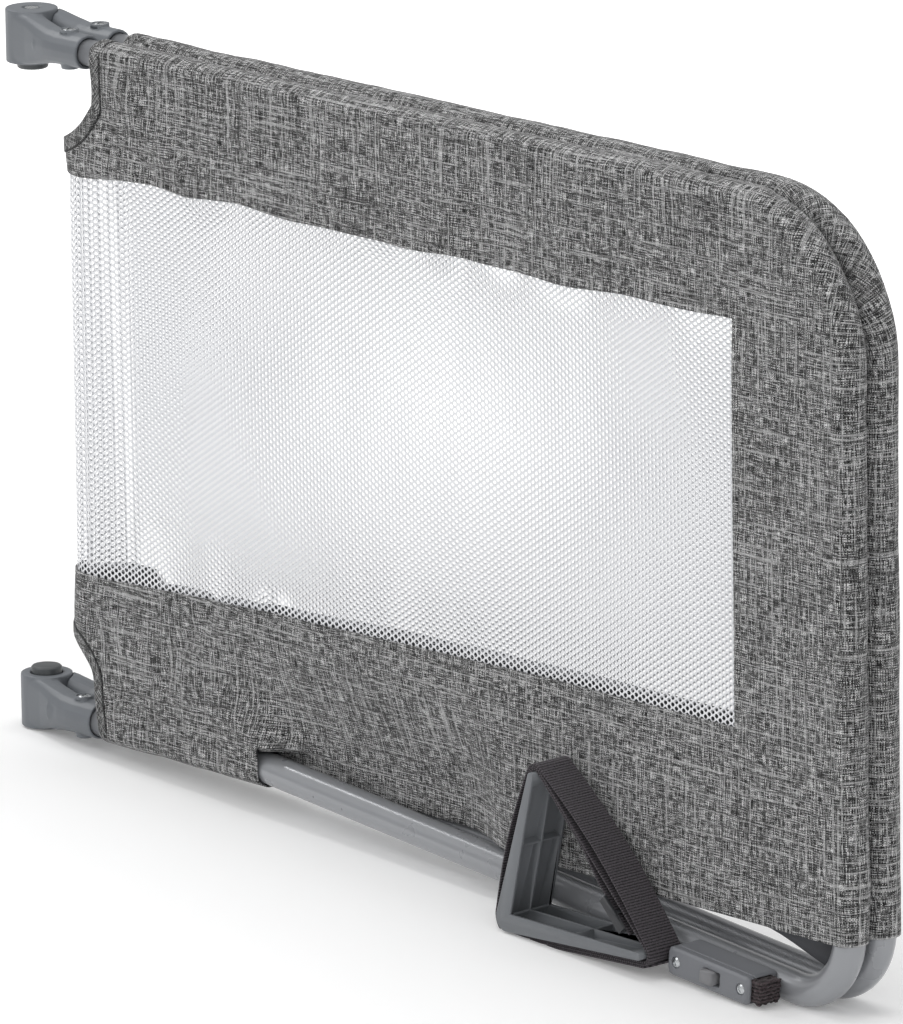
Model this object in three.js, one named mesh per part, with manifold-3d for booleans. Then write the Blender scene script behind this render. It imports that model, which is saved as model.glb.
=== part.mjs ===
// Folding bed guard rail: two halves of bent steel tube, joined by two folding hinges and shown
// folded flat on each other, in a fabric cover with knitted net windows. A strap with a corner
// bracket, a buckle and a tube clamp ties the rail to the bed frame.
//
// Millimetres. X runs along the rail away from the fold, Y across it from front to rear, and Z up.
// Inside the assembly the fold axis is at x = 0, the plane between the halves is y = 0, and z = 0
// is the underside of the lower outer corners.
import * as THREE from 'three';
import { mergeVertices } from 'three/addons/utils/BufferGeometryUtils.js';
import Module from 'manifold-3d';

const wasm = await Module();
wasm.setup();

const { degToRad } = THREE.MathUtils;

// Tube frame
const HALF_SPACING = 11.9; // mid-plane to the centre line of one half
const TOP_AXIS_Z = 462.5;
const LOW_AXIS_Z = 50;
const CORNER_X = 721.5;
const TOP_TUBE_RADIUS = 8;
const LOW_TUBE_RADIUS = 9.5;
const TUBE_WALL = 1.2;
const TUBE_START_X = 26;
const TOP_CORNER_RADIUS = 85;
const LOW_CORNER_RADIUS = 40;
const DROP_ANGLE = degToRad(5.06); // fall of the lower tube toward its outer corner
const DROP_BEND_RADIUS = 60;
const RIVET_Z = 220;
const RIVET_RADIUS = 2;
const SPLICE_REACH = 30; // how far either tube runs past the rivet that joins them

// Hinges
const BARREL_RADIUS = 16;
const BARREL_HALF_HEIGHT = 16.5;
const SKIRT_WALL = 1.2;
const KNUCKLE_GAP = 0.3;
const ARM_SIDE_GAP = 1; // mid-plane to the inner side of an arm at the barrel
const ARM_END_X = 44;
const SOCKET_MOUTH_X = 66.5;
const TOP_SOCKET_WALL = 2.2;
const LOW_SOCKET_WALL = 1.6;
const BARREL_CLEARANCE = 0.4;
const WEB_INNER_RADIUS = 13;
const WEB_OUTER_RADIUS = 17.5;
const WEB_START = degToRad(8);
const WEB_END = degToRad(45);
const SKIRT_START = degToRad(228);
const SKIRT_END = degToRad(345);
const ARCH_RADIUS = 28;
const ARCH_HEIGHT = 4.5;
const ARCH_X = 26;
const WAIST_HEIGHT = 1.6;

// Socket screws
const SCREW_X = 49.5;
const BOSS_RADIUS = 5.5;
const BOSS_HEIGHT = 1.7;
const SCREW_HEAD_RADIUS = 3.6;
const SCREW_HEAD_HEIGHT = 1.7;
const SCREW_SHANK_RADIUS = 1.75;
const SCREW_RECESS_DEPTH = 2.2;
const SCREW_REACH = 1.2; // how far the shank runs into the socket past the tube

// Locking buttons, their axles and springs
const AXLE_SHANK_RADIUS = 2;
const AXLE_HEAD_RADIUS = 4.2;
const AXLE_HEAD_HEIGHT = 1.9;
const AXLE_RECESS_DEPTH = 2.5;
const AXLE_CLEARANCE = 0.4;
const FLANGE_RADIUS = 7.5;
const FLANGE_THICKNESS = 1.4;
const BUTTON_RADIUS = 9.45;
const BUTTON_TRAVEL = 3;
const BUTTON_LEFT_PROUD = 1; // what still stands proud when it is pressed
const BUTTON_RIM_RADIUS = 10.3;
const BUTTON_RIM_THICKNESS = 1.5;
const BUTTON_WALL = 1.55;
const BUTTON_CROWN = 2;
const BUTTON_CHAMFER = 0.9;
const MOUTH_LIP = 1.5;
const DISC_FLOOR = 5.15; // knuckle face to the floor of the button's bore
const SPRING_RADIUS = 6;
const SPRING_WIRE_RADIUS = 0.6;
const SPRING_TURNS = 5;

// Cover and net
const CLOTH = 1.2;
const SLEEVE_EASE = 0.5;
const TOP_TAIL = 45; // depth of the sleeve's flap below the tube
const SIDE_TAIL = 75;
const SLEEVE_SEAM = 5;
const HEM_DROP = 5; // lower tube's axis to the cover's hem
const TOP_SLEEVE_X = 77;
const LOW_SLEEVE_START_X = 70;
const LOW_SLEEVE_END_X = 212;
const FOLD_CENTRE_X = 68;
const FOLD_GAP = 0.3;
const TOP_BAND = 67.5; // tube axes to the window's edges
const SIDE_BAND = 82.5;
const LOW_BAND = 94;
const WINDOW_RISE = 13; // how much the window's lower edge climbs toward its right end
const NET_THICKNESS = 1;
const NET_EDGE = 8;
const BINDING_WIDTH = 7.5;
const UPPER_CUT_DROP = 28.5; // drops below the upper tube's axis along the upper cut-out
const UPPER_BEND_X = 64;
const UPPER_BEND_DROP = 51;
const UPPER_FOLD_DROP = 55.5;
const LOWER_CUT_FOOT_X = 75;
const LOWER_CUT_FOOT_DROP = 14;
const LOWER_CUT_X = 70;
const LOWER_CUT_RISE = 24; // rises above the lower tube's axis along the lower cut-out
const LOWER_BEND_X = 68;
const LOWER_BEND_RISE = 50;
const LOWER_FOLD_RISE = 55;

// Corner bracket of the anchor, with its strap and buckle
const ANCHOR_WIDTH = 33;
const ANCHOR_STANDOFF = 0.9; // cover to the bracket's side
const ANCHOR_CORNER_Z = 10.4;
const UPRIGHT_LENGTH = 103.6;
const UPRIGHT_ANGLE = degToRad(72.1);
const FOOT_LENGTH = 124.1;
const FOOT_ANGLE = degToRad(2.9);
const ANCHOR_DEPTH = 11;
const ANCHOR_TIP_RADIUS = 2.25;
const ANCHOR_CORNER_RADIUS = 8;
const ANCHOR_WEB = 2.2;
const ANCHOR_RIB = 1.6;
const ANCHOR_TIP_SOLID = 6;
const UPRIGHT_RIB_REACH = 60;
const FOOT_RIB_REACH = 70;
const STRAP_WIDTH = 28;
const STRAP_THICKNESS = 1.4;
const STRAP_PITCH = 2;
const STRAP_EASE = 0.3;
const STRAP_LOOPS = 3;
const TAIL_SINK = 3.6; // how far the strap's inner tail lies inside its first layer
const TAIL_JOIN_REACH = 54; // from the upright's tip down to where the tail joins the first layer
const TAIL_SINK_REACH = 76;
const TAIL_END_REACH = 112;
const LEAD_WIDTH = 12;
const LEAD_REACH = 17.6; // tube's axis to the middle of the lead where it enters the clamp
const LEAD_TURN = degToRad(23); // how far the lead bends round the foot before it leaves for the clamp
const BUCKLE_REACH = 97; // from the upright's tip down to the middle of the buckle
const BUCKLE_LENGTH = 23;
const BUCKLE_BAR = 2.2;
const BUCKLE_THICKNESS = 1.6;
const BUCKLE_EASE = 0.3;

// Tube clamp at the end of the strap
const CLAMP_TO_CORNER = 86.5; // middle of the clamp to the upright tube's axis
const CLAMP_LENGTH = 68;
const CLAMP_STANDOFF = 8.56; // tip of the bracket's foot to the clamp
const CLAMP_HEIGHT = 17;
const CLAMP_FRONT = 30; // tube axis to the front face of the casing
const CLAMP_SPLIT = 24;
const CLAMP_BACK = 6.5;
const CLAMP_CORNER_RADIUS = 3;
const CLAMP_EDGE = 1.5;
const CLAMP_SCREW_X = 27;
const CLAMP_SCREW_RADIUS = 1.5;
const CLAMP_SCREW_HEAD_RADIUS = 3.1;
const CLAMP_SCREW_HEAD_HEIGHT = 1.6;
const CLAMP_SCREW_RECESS = 2;
const CLAMP_SCREW_LENGTH = 14;
const SWITCH_SLOT_START = -4;
const SWITCH_LENGTH = 9.9;
const SWITCH_HEIGHT = 7.8;
const SWITCH_PROUD = 3;
const SWITCH_TRAVEL = 3.5;
const SWITCH_FLANGE = 1.7;
const SWITCH_FLANGE_THICKNESS = 1.4;
const WEBBING_REACH = 7;
const WEBBING_INSET = 3.7;
const WEBBING_HEIGHT = 13.4;
const WEBBING_FRONT = 26.7;
const WEBBING_BACK = 11.3;

// General clearance between pieces that touch, and the overrun of every cut
const GAP = 0.3;
const OVERRUN = 2;
const FAR = 1000;

// Counts and shares
const TUBE_SIDES = 16;
const ROUND_SIDES = 24;
const SMALL_SIDES = 16;
const ARC_TURN = degToRad(15);
const ARM_SIDES = 16;
const ARM_SHARES = [0, 0.3, 0.55, 0.8, 1];
const ARM_BOX_SHARE = 0.35;
const ARC_POINTS = 8;
const SLEEVE_LIP_SHARE = 0.2;
const SPRING_STEPS = 8;
const SPRING_SIDES = 5;
const STRAP_STEP = degToRad(20);
const LEAD_BEND_SHARE = 0.5;
const NET_COLUMNS = 11;
const NET_ROWS = 4;
const NET_GAP_SHARE = 0.38;
const WINDOW_KNEE_SHARES = [[0, 0], [0.26, 0.5], [0.7, 0.94], [1, 1]];

const FINISHES = {
  tube: new THREE.MeshStandardMaterial({ color: 0x7d8083, roughness: 0.42, metalness: 0.5 }),
  plastic: new THREE.MeshStandardMaterial({ color: 0x70747a, roughness: 0.5, metalness: 0 }),
  button: new THREE.MeshStandardMaterial({ color: 0x4b4e50, roughness: 0.45, metalness: 0 }),
  zinc: new THREE.MeshStandardMaterial({ color: 0xb9bcbf, roughness: 0.3, metalness: 0.9 }),
  cloth: new THREE.MeshStandardMaterial({ color: 0x737373, roughness: 0.9, metalness: 0 }),
  binding: new THREE.MeshStandardMaterial({ color: 0x6c6c6c, roughness: 0.9, metalness: 0 }),
  net: new THREE.MeshStandardMaterial({ color: 0xe6e6e4, roughness: 0.85, metalness: 0 }),
  anchor: new THREE.MeshStandardMaterial({ color: 0x696c70, roughness: 0.5, metalness: 0 }),
  strap: new THREE.MeshStandardMaterial({ color: 0x373235, roughness: 0.85, metalness: 0 }),
  clampCase: new THREE.MeshStandardMaterial({ color: 0x64676b, roughness: 0.5, metalness: 0 }),
  clampSwitch: new THREE.MeshStandardMaterial({ color: 0x828285, roughness: 0.5, metalness: 0 }),
};
for (const finish of Object.values(FINISHES)) finish.flatShading = true;

// Solids from three.js geometry

function fromPlaces(places, faces) {
  let volume = 0;
  for (let i = 0; i < faces.length; i += 3) {
    const [a, b, c] = [places[faces[i]], places[faces[i + 1]], places[faces[i + 2]]];
    volume += a.dot(b.clone().cross(c));
  }
  const turned = volume < 0 ? faces.toReversed() : faces;
  return new wasm.Manifold(new wasm.Mesh({
    numProp: 3,
    vertProperties: new Float32Array(places.flatMap((place) => place.toArray())),
    triVerts: new Uint32Array(turned),
  }));
}

function fromGeometry(geometry) {
  geometry.deleteAttribute('normal');
  geometry.deleteAttribute('uv');
  const merged = mergeVertices(geometry);
  const points = merged.attributes.position;
  const places = [];
  for (let i = 0; i < points.count; i += 1) places.push(new THREE.Vector3().fromBufferAttribute(points, i));
  return fromPlaces(places, Array.from(merged.index.array));
}

// A skin over rings with the same number of points, closed by a flat cap at each end
function loft(rings) {
  const sides = rings[0].length;
  const faces = [];
  for (let ring = 0; ring + 1 < rings.length; ring += 1) {
    for (let side = 0; side < sides; side += 1) {
      const a = ring * sides + side;
      const b = ring * sides + (side + 1) % sides;
      faces.push(a, b, b + sides, a, b + sides, a + sides);
    }
  }
  const last = (rings.length - 1) * sides;
  for (let side = 1; side + 1 < sides; side += 1) {
    faces.push(0, side + 1, side, last, last + side, last + side + 1);
  }
  return fromPlaces(rings.flat(), faces);
}

function rod(axis, radius, low, high, at = {}, sides = ROUND_SIDES) {
  const geometry = new THREE.CylinderGeometry(radius, radius, high - low, sides);
  geometry.translate(0, (low + high) / 2, 0);
  if (axis === 'z') geometry.rotateX(Math.PI / 2);
  if (axis === 'x') geometry.rotateZ(-Math.PI / 2);
  return fromGeometry(geometry.translate(at.x ?? 0, at.y ?? 0, at.z ?? 0));
}

function block([x0, x1], [y0, y1], [z0, z1]) {
  const geometry = new THREE.BoxGeometry(x1 - x0, y1 - y0, z1 - z0);
  return fromGeometry(geometry.translate((x0 + x1) / 2, (y0 + y1) / 2, (z0 + z1) / 2));
}

// An outline in the XZ plane, run from one Y to the other
function prismY(shape, low, high) {
  const geometry = new THREE.ExtrudeGeometry(shape, { depth: high - low, bevelEnabled: false });
  geometry.rotateX(Math.PI / 2).translate(0, high, 0);
  return fromGeometry(geometry);
}

// An outline in the XY plane, run from one Z to the other
function prismZ(shape, low, high, curveSegments = ROUND_SIDES / 4) {
  const geometry = new THREE.ExtrudeGeometry(shape, { depth: high - low, bevelEnabled: false, curveSegments });
  return fromGeometry(geometry.translate(0, 0, low));
}

function sector(inner, outer, start, end, low, high) {
  const shape = new THREE.Shape();
  shape.absarc(0, 0, outer, start, end, false);
  shape.absarc(0, 0, inner, end, start, true);
  return prismZ(shape, low, high);
}

const shapeOf = (points) => new THREE.Shape(points.map(([x, z]) => new THREE.Vector2(x, z)));
const polar = (angle, length = 1) => new THREE.Vector2(Math.cos(angle) * length, Math.sin(angle) * length);
const leftOf = (heading) => new THREE.Vector2(-heading.y, heading.x);

// Straight runs with an arc at each inner corner, as stops with a place and a heading in XZ
function route(corners) {
  const places = corners.map(({ x, z }) => new THREE.Vector2(x, z));
  const heading = (index) => places[index + 1].clone().sub(places[index]).normalize();
  const stops = [{ place: places[0], heading: heading(0) }];
  for (let i = 1; i + 1 < places.length; i += 1) {
    const before = heading(i - 1);
    const after = heading(i);
    const turn = Math.atan2(before.cross(after), before.dot(after));
    const start = places[i].clone().addScaledVector(before, -corners[i].radius * Math.tan(Math.abs(turn) / 2));
    const centre = start.clone().addScaledVector(leftOf(before), Math.sign(turn) * corners[i].radius);
    const steps = Math.ceil(Math.abs(turn) / ARC_TURN);
    for (let step = 0; step <= steps; step += 1) {
      const angle = turn * step / steps;
      stops.push({
        place: start.clone().rotateAround(centre, angle),
        heading: before.clone().rotateAround(new THREE.Vector2(), angle),
      });
    }
  }
  return [...stops, { place: places.at(-1), heading: heading(places.length - 2) }];
}

// The same stops with both ends run on by a length
function runOn(stops, length) {
  const moved = stops.map((stop) => ({ ...stop, place: stop.place.clone() }));
  moved[0].place.addScaledVector(moved[0].heading, -length);
  moved.at(-1).place.addScaledVector(moved.at(-1).heading, length);
  return moved;
}

// A section point: out is along the route's left side, across is along Y
const sectionPoint = ({ place, heading }, out, across) => {
  const side = place.clone().addScaledVector(leftOf(heading), out);
  return new THREE.Vector3(side.x, across, side.y);
};

function roundBar(stops, radius) {
  return loft(stops.map((stop) => Array.from({ length: TUBE_SIDES }, (_, side) => {
    const angle = 2 * Math.PI * side / TUBE_SIDES;
    return sectionPoint(stop, radius * Math.cos(angle), radius * Math.sin(angle));
  })));
}

function piece(name, solid, finish, parent) {
  const { vertProperties, triVerts } = solid.getMesh();
  const geometry = new THREE.BufferGeometry();
  geometry.setAttribute('position', new THREE.BufferAttribute(vertProperties, 3));
  geometry.setIndex(new THREE.BufferAttribute(triVerts, 1));
  geometry.computeVertexNormals();
  const mesh = new THREE.Mesh(geometry, finish);
  mesh.name = name;
  parent.add(mesh);
  return mesh;
}

// Tubes

const LOW_CORNER_Z = LOW_TUBE_RADIUS + LOW_CORNER_RADIUS
  - LOW_CORNER_RADIUS * (1 + Math.sin(DROP_ANGLE)) / Math.cos(DROP_ANGLE);
const DROP_START_X = CORNER_X - (LOW_AXIS_Z - LOW_CORNER_Z) / Math.tan(DROP_ANGLE);
const lowAxisZ = (x) => LOW_AXIS_Z - Math.max(0, x - DROP_START_X) * Math.tan(DROP_ANGLE);

const topRoute = route([
  { x: TUBE_START_X, z: TOP_AXIS_Z },
  { x: CORNER_X, z: TOP_AXIS_Z, radius: TOP_CORNER_RADIUS },
  { x: CORNER_X, z: RIVET_Z - SPLICE_REACH },
]);
const lowRoute = route([
  { x: TUBE_START_X, z: LOW_AXIS_Z },
  { x: DROP_START_X, z: LOW_AXIS_Z, radius: DROP_BEND_RADIUS },
  { x: CORNER_X, z: LOW_CORNER_Z, radius: LOW_CORNER_RADIUS },
  { x: CORNER_X, z: RIVET_Z + SPLICE_REACH },
]);

function tube(stops, radius, screwZ) {
  const hollow = roundBar(runOn(stops, OVERRUN), radius - TUBE_WALL);
  const screwHole = rod('z', SCREW_SHANK_RADIUS + GAP, screwZ - FAR / 2, screwZ + FAR / 2, { x: SCREW_X },
    SMALL_SIDES);
  const nearScrew = block([TUBE_START_X, SOCKET_MOUTH_X], [-radius, radius],
    [screwZ - radius - OVERRUN, screwZ + radius + OVERRUN]);
  const rivetHole = rod('y', RIVET_RADIUS + GAP, -radius - OVERRUN, radius + OVERRUN,
    { x: CORNER_X, z: RIVET_Z }, SMALL_SIDES);
  return roundBar(stops, radius).subtract(hollow).subtract(rivetHole)
    .subtract(screwHole.intersect(nearScrew));
}

function rivet() {
  const reach = Math.sqrt(LOW_TUBE_RADIUS ** 2 - (RIVET_RADIUS + GAP) ** 2);
  return rod('y', RIVET_RADIUS, -reach, reach, { x: CORNER_X, z: RIVET_Z }, SMALL_SIDES);
}

// Hinges, in a frame with the fold axis as Z and the hinge's middle at z = 0

const UPPER = { tubeRadius: TOP_TUBE_RADIUS, wall: TOP_SOCKET_WALL, notch: WAIST_HEIGHT, buttonSide: -1 };
const LOWER = { tubeRadius: LOW_TUBE_RADIUS, wall: LOW_SOCKET_WALL, notch: ARCH_HEIGHT, buttonSide: 1 };

const smooth = (share) => share * share * (3 - 2 * share);
const power = (value, exponent) => Math.sign(value) * Math.abs(value) ** exponent;

// The arm swells from a flat-sided section at the barrel into the round socket
function arm({ tubeRadius, wall, notch }) {
  const socketRadius = tubeRadius + GAP + wall;
  const section = (x, share) => Array.from({ length: ARM_SIDES }, (_, side) => {
    const angle = 2 * Math.PI * side / ARM_SIDES;
    const blend = smooth(share);
    const { lerp } = THREE.MathUtils;
    const exponent = lerp(ARM_BOX_SHARE, 1, blend);
    const halfY = lerp((BARREL_RADIUS - ARM_SIDE_GAP) / 2, socketRadius, blend);
    const halfZ = lerp(BARREL_HALF_HEIGHT, socketRadius, blend);
    const middle = -lerp((BARREL_RADIUS + ARM_SIDE_GAP) / 2, HALF_SPACING, blend);
    const y = middle + halfY * power(Math.sin(angle), exponent);
    return new THREE.Vector3(x, y, halfZ * power(Math.cos(angle), exponent));
  });
  const rings = ARM_SHARES.map((share) => section(ARM_END_X * share, share));
  const body = loft([...rings, section(SOCKET_MOUTH_X, 1)]);
  const archZ = -BARREL_HALF_HEIGHT - ARCH_RADIUS + notch;
  const arch = rod('y', ARCH_RADIUS, -FAR, 0, { x: ARCH_X, z: archZ });
  const boss = rod('z', BOSS_RADIUS, -socketRadius - BOSS_HEIGHT, socketRadius + BOSS_HEIGHT,
    { x: SCREW_X, y: -HALF_SPACING }, SMALL_SIDES);
  const bore = roundBar([
    { place: new THREE.Vector2(TUBE_START_X - GAP, 0), heading: polar(0) },
    { place: new THREE.Vector2(SOCKET_MOUTH_X + OVERRUN, 0), heading: polar(0) },
  ], tubeRadius + GAP).translate([0, -HALF_SPACING, 0]);
  const top = socketRadius + BOSS_HEIGHT;
  const recess = rod('z', SCREW_HEAD_RADIUS + GAP, top - SCREW_RECESS_DEPTH, top + OVERRUN,
    { x: SCREW_X, y: -HALF_SPACING }, SMALL_SIDES);
  const pilot = rod('z', SCREW_SHANK_RADIUS + GAP, -tubeRadius - SCREW_REACH - GAP, top,
    { x: SCREW_X, y: -HALF_SPACING }, SMALL_SIDES);
  return body.subtract(arch).add(boss).subtract(bore).subtract(recess).subtract(pilot);
}

// The disc that holds a button has a bore with a lip; the other disc has the axle's head recess
function discCuts(side, holdsButton) {
  const span = (near, far) => (side > 0 ? [near, far] : [-far, -near]);
  const shaft = rod('z', AXLE_SHANK_RADIUS + AXLE_CLEARANCE, ...span(0, BARREL_HALF_HEIGHT + OVERRUN), {},
    SMALL_SIDES);
  if (!holdsButton) {
    return shaft.add(rod('z', AXLE_HEAD_RADIUS + 2 * AXLE_CLEARANCE,
      ...span(BARREL_HALF_HEIGHT - AXLE_RECESS_DEPTH, BARREL_HALF_HEIGHT + OVERRUN), {}, SMALL_SIDES));
  }
  const bore = rod('z', BUTTON_RIM_RADIUS + AXLE_CLEARANCE,
    ...span(KNUCKLE_GAP / 2 + DISC_FLOOR, BARREL_HALF_HEIGHT - MOUTH_LIP));
  const mouth = rod('z', BUTTON_RADIUS + AXLE_CLEARANCE, ...span(DISC_FLOOR, BARREL_HALF_HEIGHT + OVERRUN));
  return shaft.add(bore).add(mouth);
}

function frontKnuckle(hinge) {
  const face = KNUCKLE_GAP / 2;
  const inner = BARREL_RADIUS - SKIRT_WALL;
  const disc = rod('z', BARREL_RADIUS, face, BARREL_HALF_HEIGHT);
  const skirt = sector(inner, BARREL_RADIUS, SKIRT_START, SKIRT_END, -BARREL_HALF_HEIGHT, face + OVERRUN);
  const seat = rod('z', inner, -BARREL_HALF_HEIGHT - OVERRUN, face);
  return arm(hinge).subtract(seat).add(disc).add(skirt).subtract(discCuts(1, hinge.buttonSide > 0));
}

function rearKnuckle(hinge) {
  const face = -KNUCKLE_GAP / 2;
  const disc = rod('z', BARREL_RADIUS - SKIRT_WALL - GAP, -BARREL_HALF_HEIGHT, face);
  const web = sector(WEB_INNER_RADIUS, WEB_OUTER_RADIUS, WEB_START, WEB_END, -BARREL_HALF_HEIGHT, face);
  const clear = rod('z', BARREL_RADIUS + BARREL_CLEARANCE, -FAR, FAR);
  const rearArm = arm(hinge).mirror([0, 1, 0]).subtract(clear);
  return rearArm.add(web).add(disc).subtract(discCuts(-1, hinge.buttonSide < 0));
}

// The parts on the fold axis are made with the button at the top and turned over where it is below
const FLANGE_LOW = KNUCKLE_GAP / 2 + DISC_FLOOR + GAP;
const RIM_HIGH = BARREL_HALF_HEIGHT - MOUTH_LIP - GAP;
const BUTTON_TOP = BARREL_HALF_HEIGHT + BUTTON_LEFT_PROUD + BUTTON_TRAVEL;

function axle() {
  const headLow = -BARREL_HALF_HEIGHT + GAP;
  const shank = rod('z', AXLE_SHANK_RADIUS, headLow, FLANGE_LOW + FLANGE_THICKNESS, {}, SMALL_SIDES);
  const head = rod('z', AXLE_HEAD_RADIUS, headLow, headLow + AXLE_HEAD_HEIGHT, {}, SMALL_SIDES);
  const flange = rod('z', FLANGE_RADIUS, FLANGE_LOW, FLANGE_LOW + FLANGE_THICKNESS);
  return shank.add(head).add(flange);
}

function button() {
  const cavity = BUTTON_RADIUS - BUTTON_WALL;
  const profile = [
    [cavity, RIM_HIGH - BUTTON_RIM_THICKNESS],
    [BUTTON_RIM_RADIUS, RIM_HIGH - BUTTON_RIM_THICKNESS],
    [BUTTON_RIM_RADIUS, RIM_HIGH],
    [BUTTON_RADIUS, RIM_HIGH],
    [BUTTON_RADIUS, BUTTON_TOP - BUTTON_CHAMFER],
    [BUTTON_RADIUS - BUTTON_CHAMFER, BUTTON_TOP],
    [0, BUTTON_TOP],
    [0, BUTTON_TOP - BUTTON_CROWN],
    [cavity, BUTTON_TOP - BUTTON_CROWN],
    [cavity, RIM_HIGH - BUTTON_RIM_THICKNESS],
  ].map(([radius, height]) => new THREE.Vector2(radius, height));
  return fromGeometry(new THREE.LatheGeometry(profile, ROUND_SIDES).rotateX(Math.PI / 2));
}

const SPRING_LOW = FLANGE_LOW + FLANGE_THICKNESS + SPRING_WIRE_RADIUS + GAP;
const SPRING_HIGH = BUTTON_TOP - BUTTON_CROWN - SPRING_WIRE_RADIUS - GAP;

function spring() {
  const steps = SPRING_TURNS * SPRING_STEPS;
  const rings = Array.from({ length: steps + 1 }, (_, step) => {
    const turn = 2 * Math.PI * step / SPRING_STEPS;
    const height = SPRING_LOW + (SPRING_HIGH - SPRING_LOW) * step / steps;
    return Array.from({ length: SPRING_SIDES }, (_, side) => {
      const angle = 2 * Math.PI * side / SPRING_SIDES;
      const radius = SPRING_RADIUS + SPRING_WIRE_RADIUS * Math.cos(angle);
      const place = polar(turn, radius);
      return new THREE.Vector3(place.x, place.y, height + SPRING_WIRE_RADIUS * Math.sin(angle));
    });
  });
  return loft(rings);
}

function socketScrew({ tubeRadius, wall }) {
  const floor = tubeRadius + GAP + wall + BOSS_HEIGHT - SCREW_RECESS_DEPTH + GAP;
  const head = rod('z', SCREW_HEAD_RADIUS, floor, floor + SCREW_HEAD_HEIGHT, {}, SMALL_SIDES);
  const shank = rod('z', SCREW_SHANK_RADIUS, -tubeRadius - SCREW_REACH, floor + SCREW_HEAD_HEIGHT / 2, {},
    SMALL_SIDES / 2);
  return head.add(shank);
}

// Cover and net. The cloth lies in one plane in front of the tubes and turns round the fold.

const FRONT_REACH = LOW_TUBE_RADIUS + SLEEVE_EASE + CLOTH; // tube axis to the cloth's outer face
const PLANE_Y = HALF_SPACING + FRONT_REACH; // mid-plane to the cloth's outer face

// A sheet in the cover's plane that turns round the fold, cut to an outline in XZ
function foldedSheet(outer, inner, shape) {
  const section = new THREE.Shape();
  const end = FOLD_CENTRE_X;
  section.moveTo(CORNER_X + FAR, -outer);
  section.lineTo(end, -outer);
  section.absarc(end, 0, outer, 1.5 * Math.PI, Math.PI, true);
  section.lineTo(end - inner, 0);
  section.absarc(end, 0, inner, Math.PI, 1.5 * Math.PI, false);
  section.lineTo(CORNER_X + FAR, -inner);
  const sheet = prismZ(section, -FAR, FAR);
  return sheet.intersect(prismY(shape, -FAR, -FOLD_GAP / 2));
}

// One section of the sleeve: round the tube, and down both of its sides to a seam
function sleeveRing(stop, tubeRadius, tail, inset) {
  const radius = tubeRadius + SLEEVE_EASE + CLOTH - inset;
  const front = new THREE.Vector2(FRONT_REACH - inset, SLEEVE_LIP_SHARE * tubeRadius);
  const depth = inset > 0 ? tail - SLEEVE_SEAM : tail;
  const seam = new THREE.Vector2(FRONT_REACH - CLOTH - (inset > 0 ? GAP : 0), -depth);
  const tangent = (point, side) => point.angle() + side * Math.acos(radius / point.length());
  const start = tangent(front, 1);
  const end = tangent(seam, -1);
  const arc = Array.from({ length: ARC_POINTS }, (_, i) => {
    return polar(start + (end - start) * i / (ARC_POINTS - 1), radius);
  });
  const outline = [front, ...arc, seam, new THREE.Vector2(FRONT_REACH - inset, -depth)];
  return outline.map((point) => sectionPoint(stop, point.y, -HALF_SPACING - point.x));
}

const sideStart = topRoute.length - 2;
const hemZ = LOW_AXIS_Z - HEM_DROP;
const sleeveStops = [
  { place: new THREE.Vector2(TOP_SLEEVE_X, TOP_AXIS_Z), heading: polar(0), share: 0 },
  ...topRoute.slice(1, sideStart + 1).map((stop, i) => ({ ...stop, share: i / (sideStart - 1) })),
  ...[RIVET_Z + SPLICE_REACH + OVERRUN, hemZ].map((z) => (
    { place: new THREE.Vector2(CORNER_X, z), heading: polar(-Math.PI / 2), share: 1 }
  )),
];

function sleeveLoft(stops, inset, radiusAt, tailAt) {
  const used = inset > 0 ? runOn(stops, OVERRUN) : stops;
  return loft(used.map((stop) => sleeveRing(stop, radiusAt(stop), tailAt(stop), inset)));
}

const topSleeve = (inset) => sleeveLoft(sleeveStops, inset,
  ({ share }) => THREE.MathUtils.lerp(TOP_TUBE_RADIUS, LOW_TUBE_RADIUS, share),
  ({ share }) => THREE.MathUtils.lerp(TOP_TAIL, SIDE_TAIL, share));
const lowSleeve = (inset) => sleeveLoft([
  { place: new THREE.Vector2(LOW_SLEEVE_END_X, LOW_AXIS_Z), heading: polar(Math.PI) },
  { place: new THREE.Vector2(LOW_SLEEVE_START_X, LOW_AXIS_Z), heading: polar(Math.PI) },
], inset, () => LOW_TUBE_RADIUS, () => TOP_TAIL);

// Edges of the two cut-outs at the hinges, from the tube to the fold
const curve = (from, bend, to) => new THREE.QuadraticBezierCurve(
  ...[from, bend, to].map(([x, z]) => new THREE.Vector2(x, z)),
).getPoints(ARC_POINTS - 2);
const upperEdge = [
  new THREE.Vector2(TOP_SLEEVE_X, TOP_AXIS_Z + BARREL_RADIUS),
  ...curve([TOP_SLEEVE_X, TOP_AXIS_Z - UPPER_CUT_DROP], [UPPER_BEND_X, TOP_AXIS_Z - UPPER_BEND_DROP],
    [FOLD_CENTRE_X - PLANE_Y - OVERRUN, TOP_AXIS_Z - UPPER_FOLD_DROP]),
];
const lowerEdge = [
  new THREE.Vector2(LOWER_CUT_FOOT_X, LOW_AXIS_Z - LOWER_CUT_FOOT_DROP),
  ...curve([LOWER_CUT_X, LOW_AXIS_Z + LOWER_CUT_RISE], [LOWER_BEND_X, LOW_AXIS_Z + LOWER_BEND_RISE],
    [FOLD_CENTRE_X - PLANE_Y - OVERRUN, LOW_AXIS_Z + LOWER_FOLD_RISE]),
];

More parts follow.
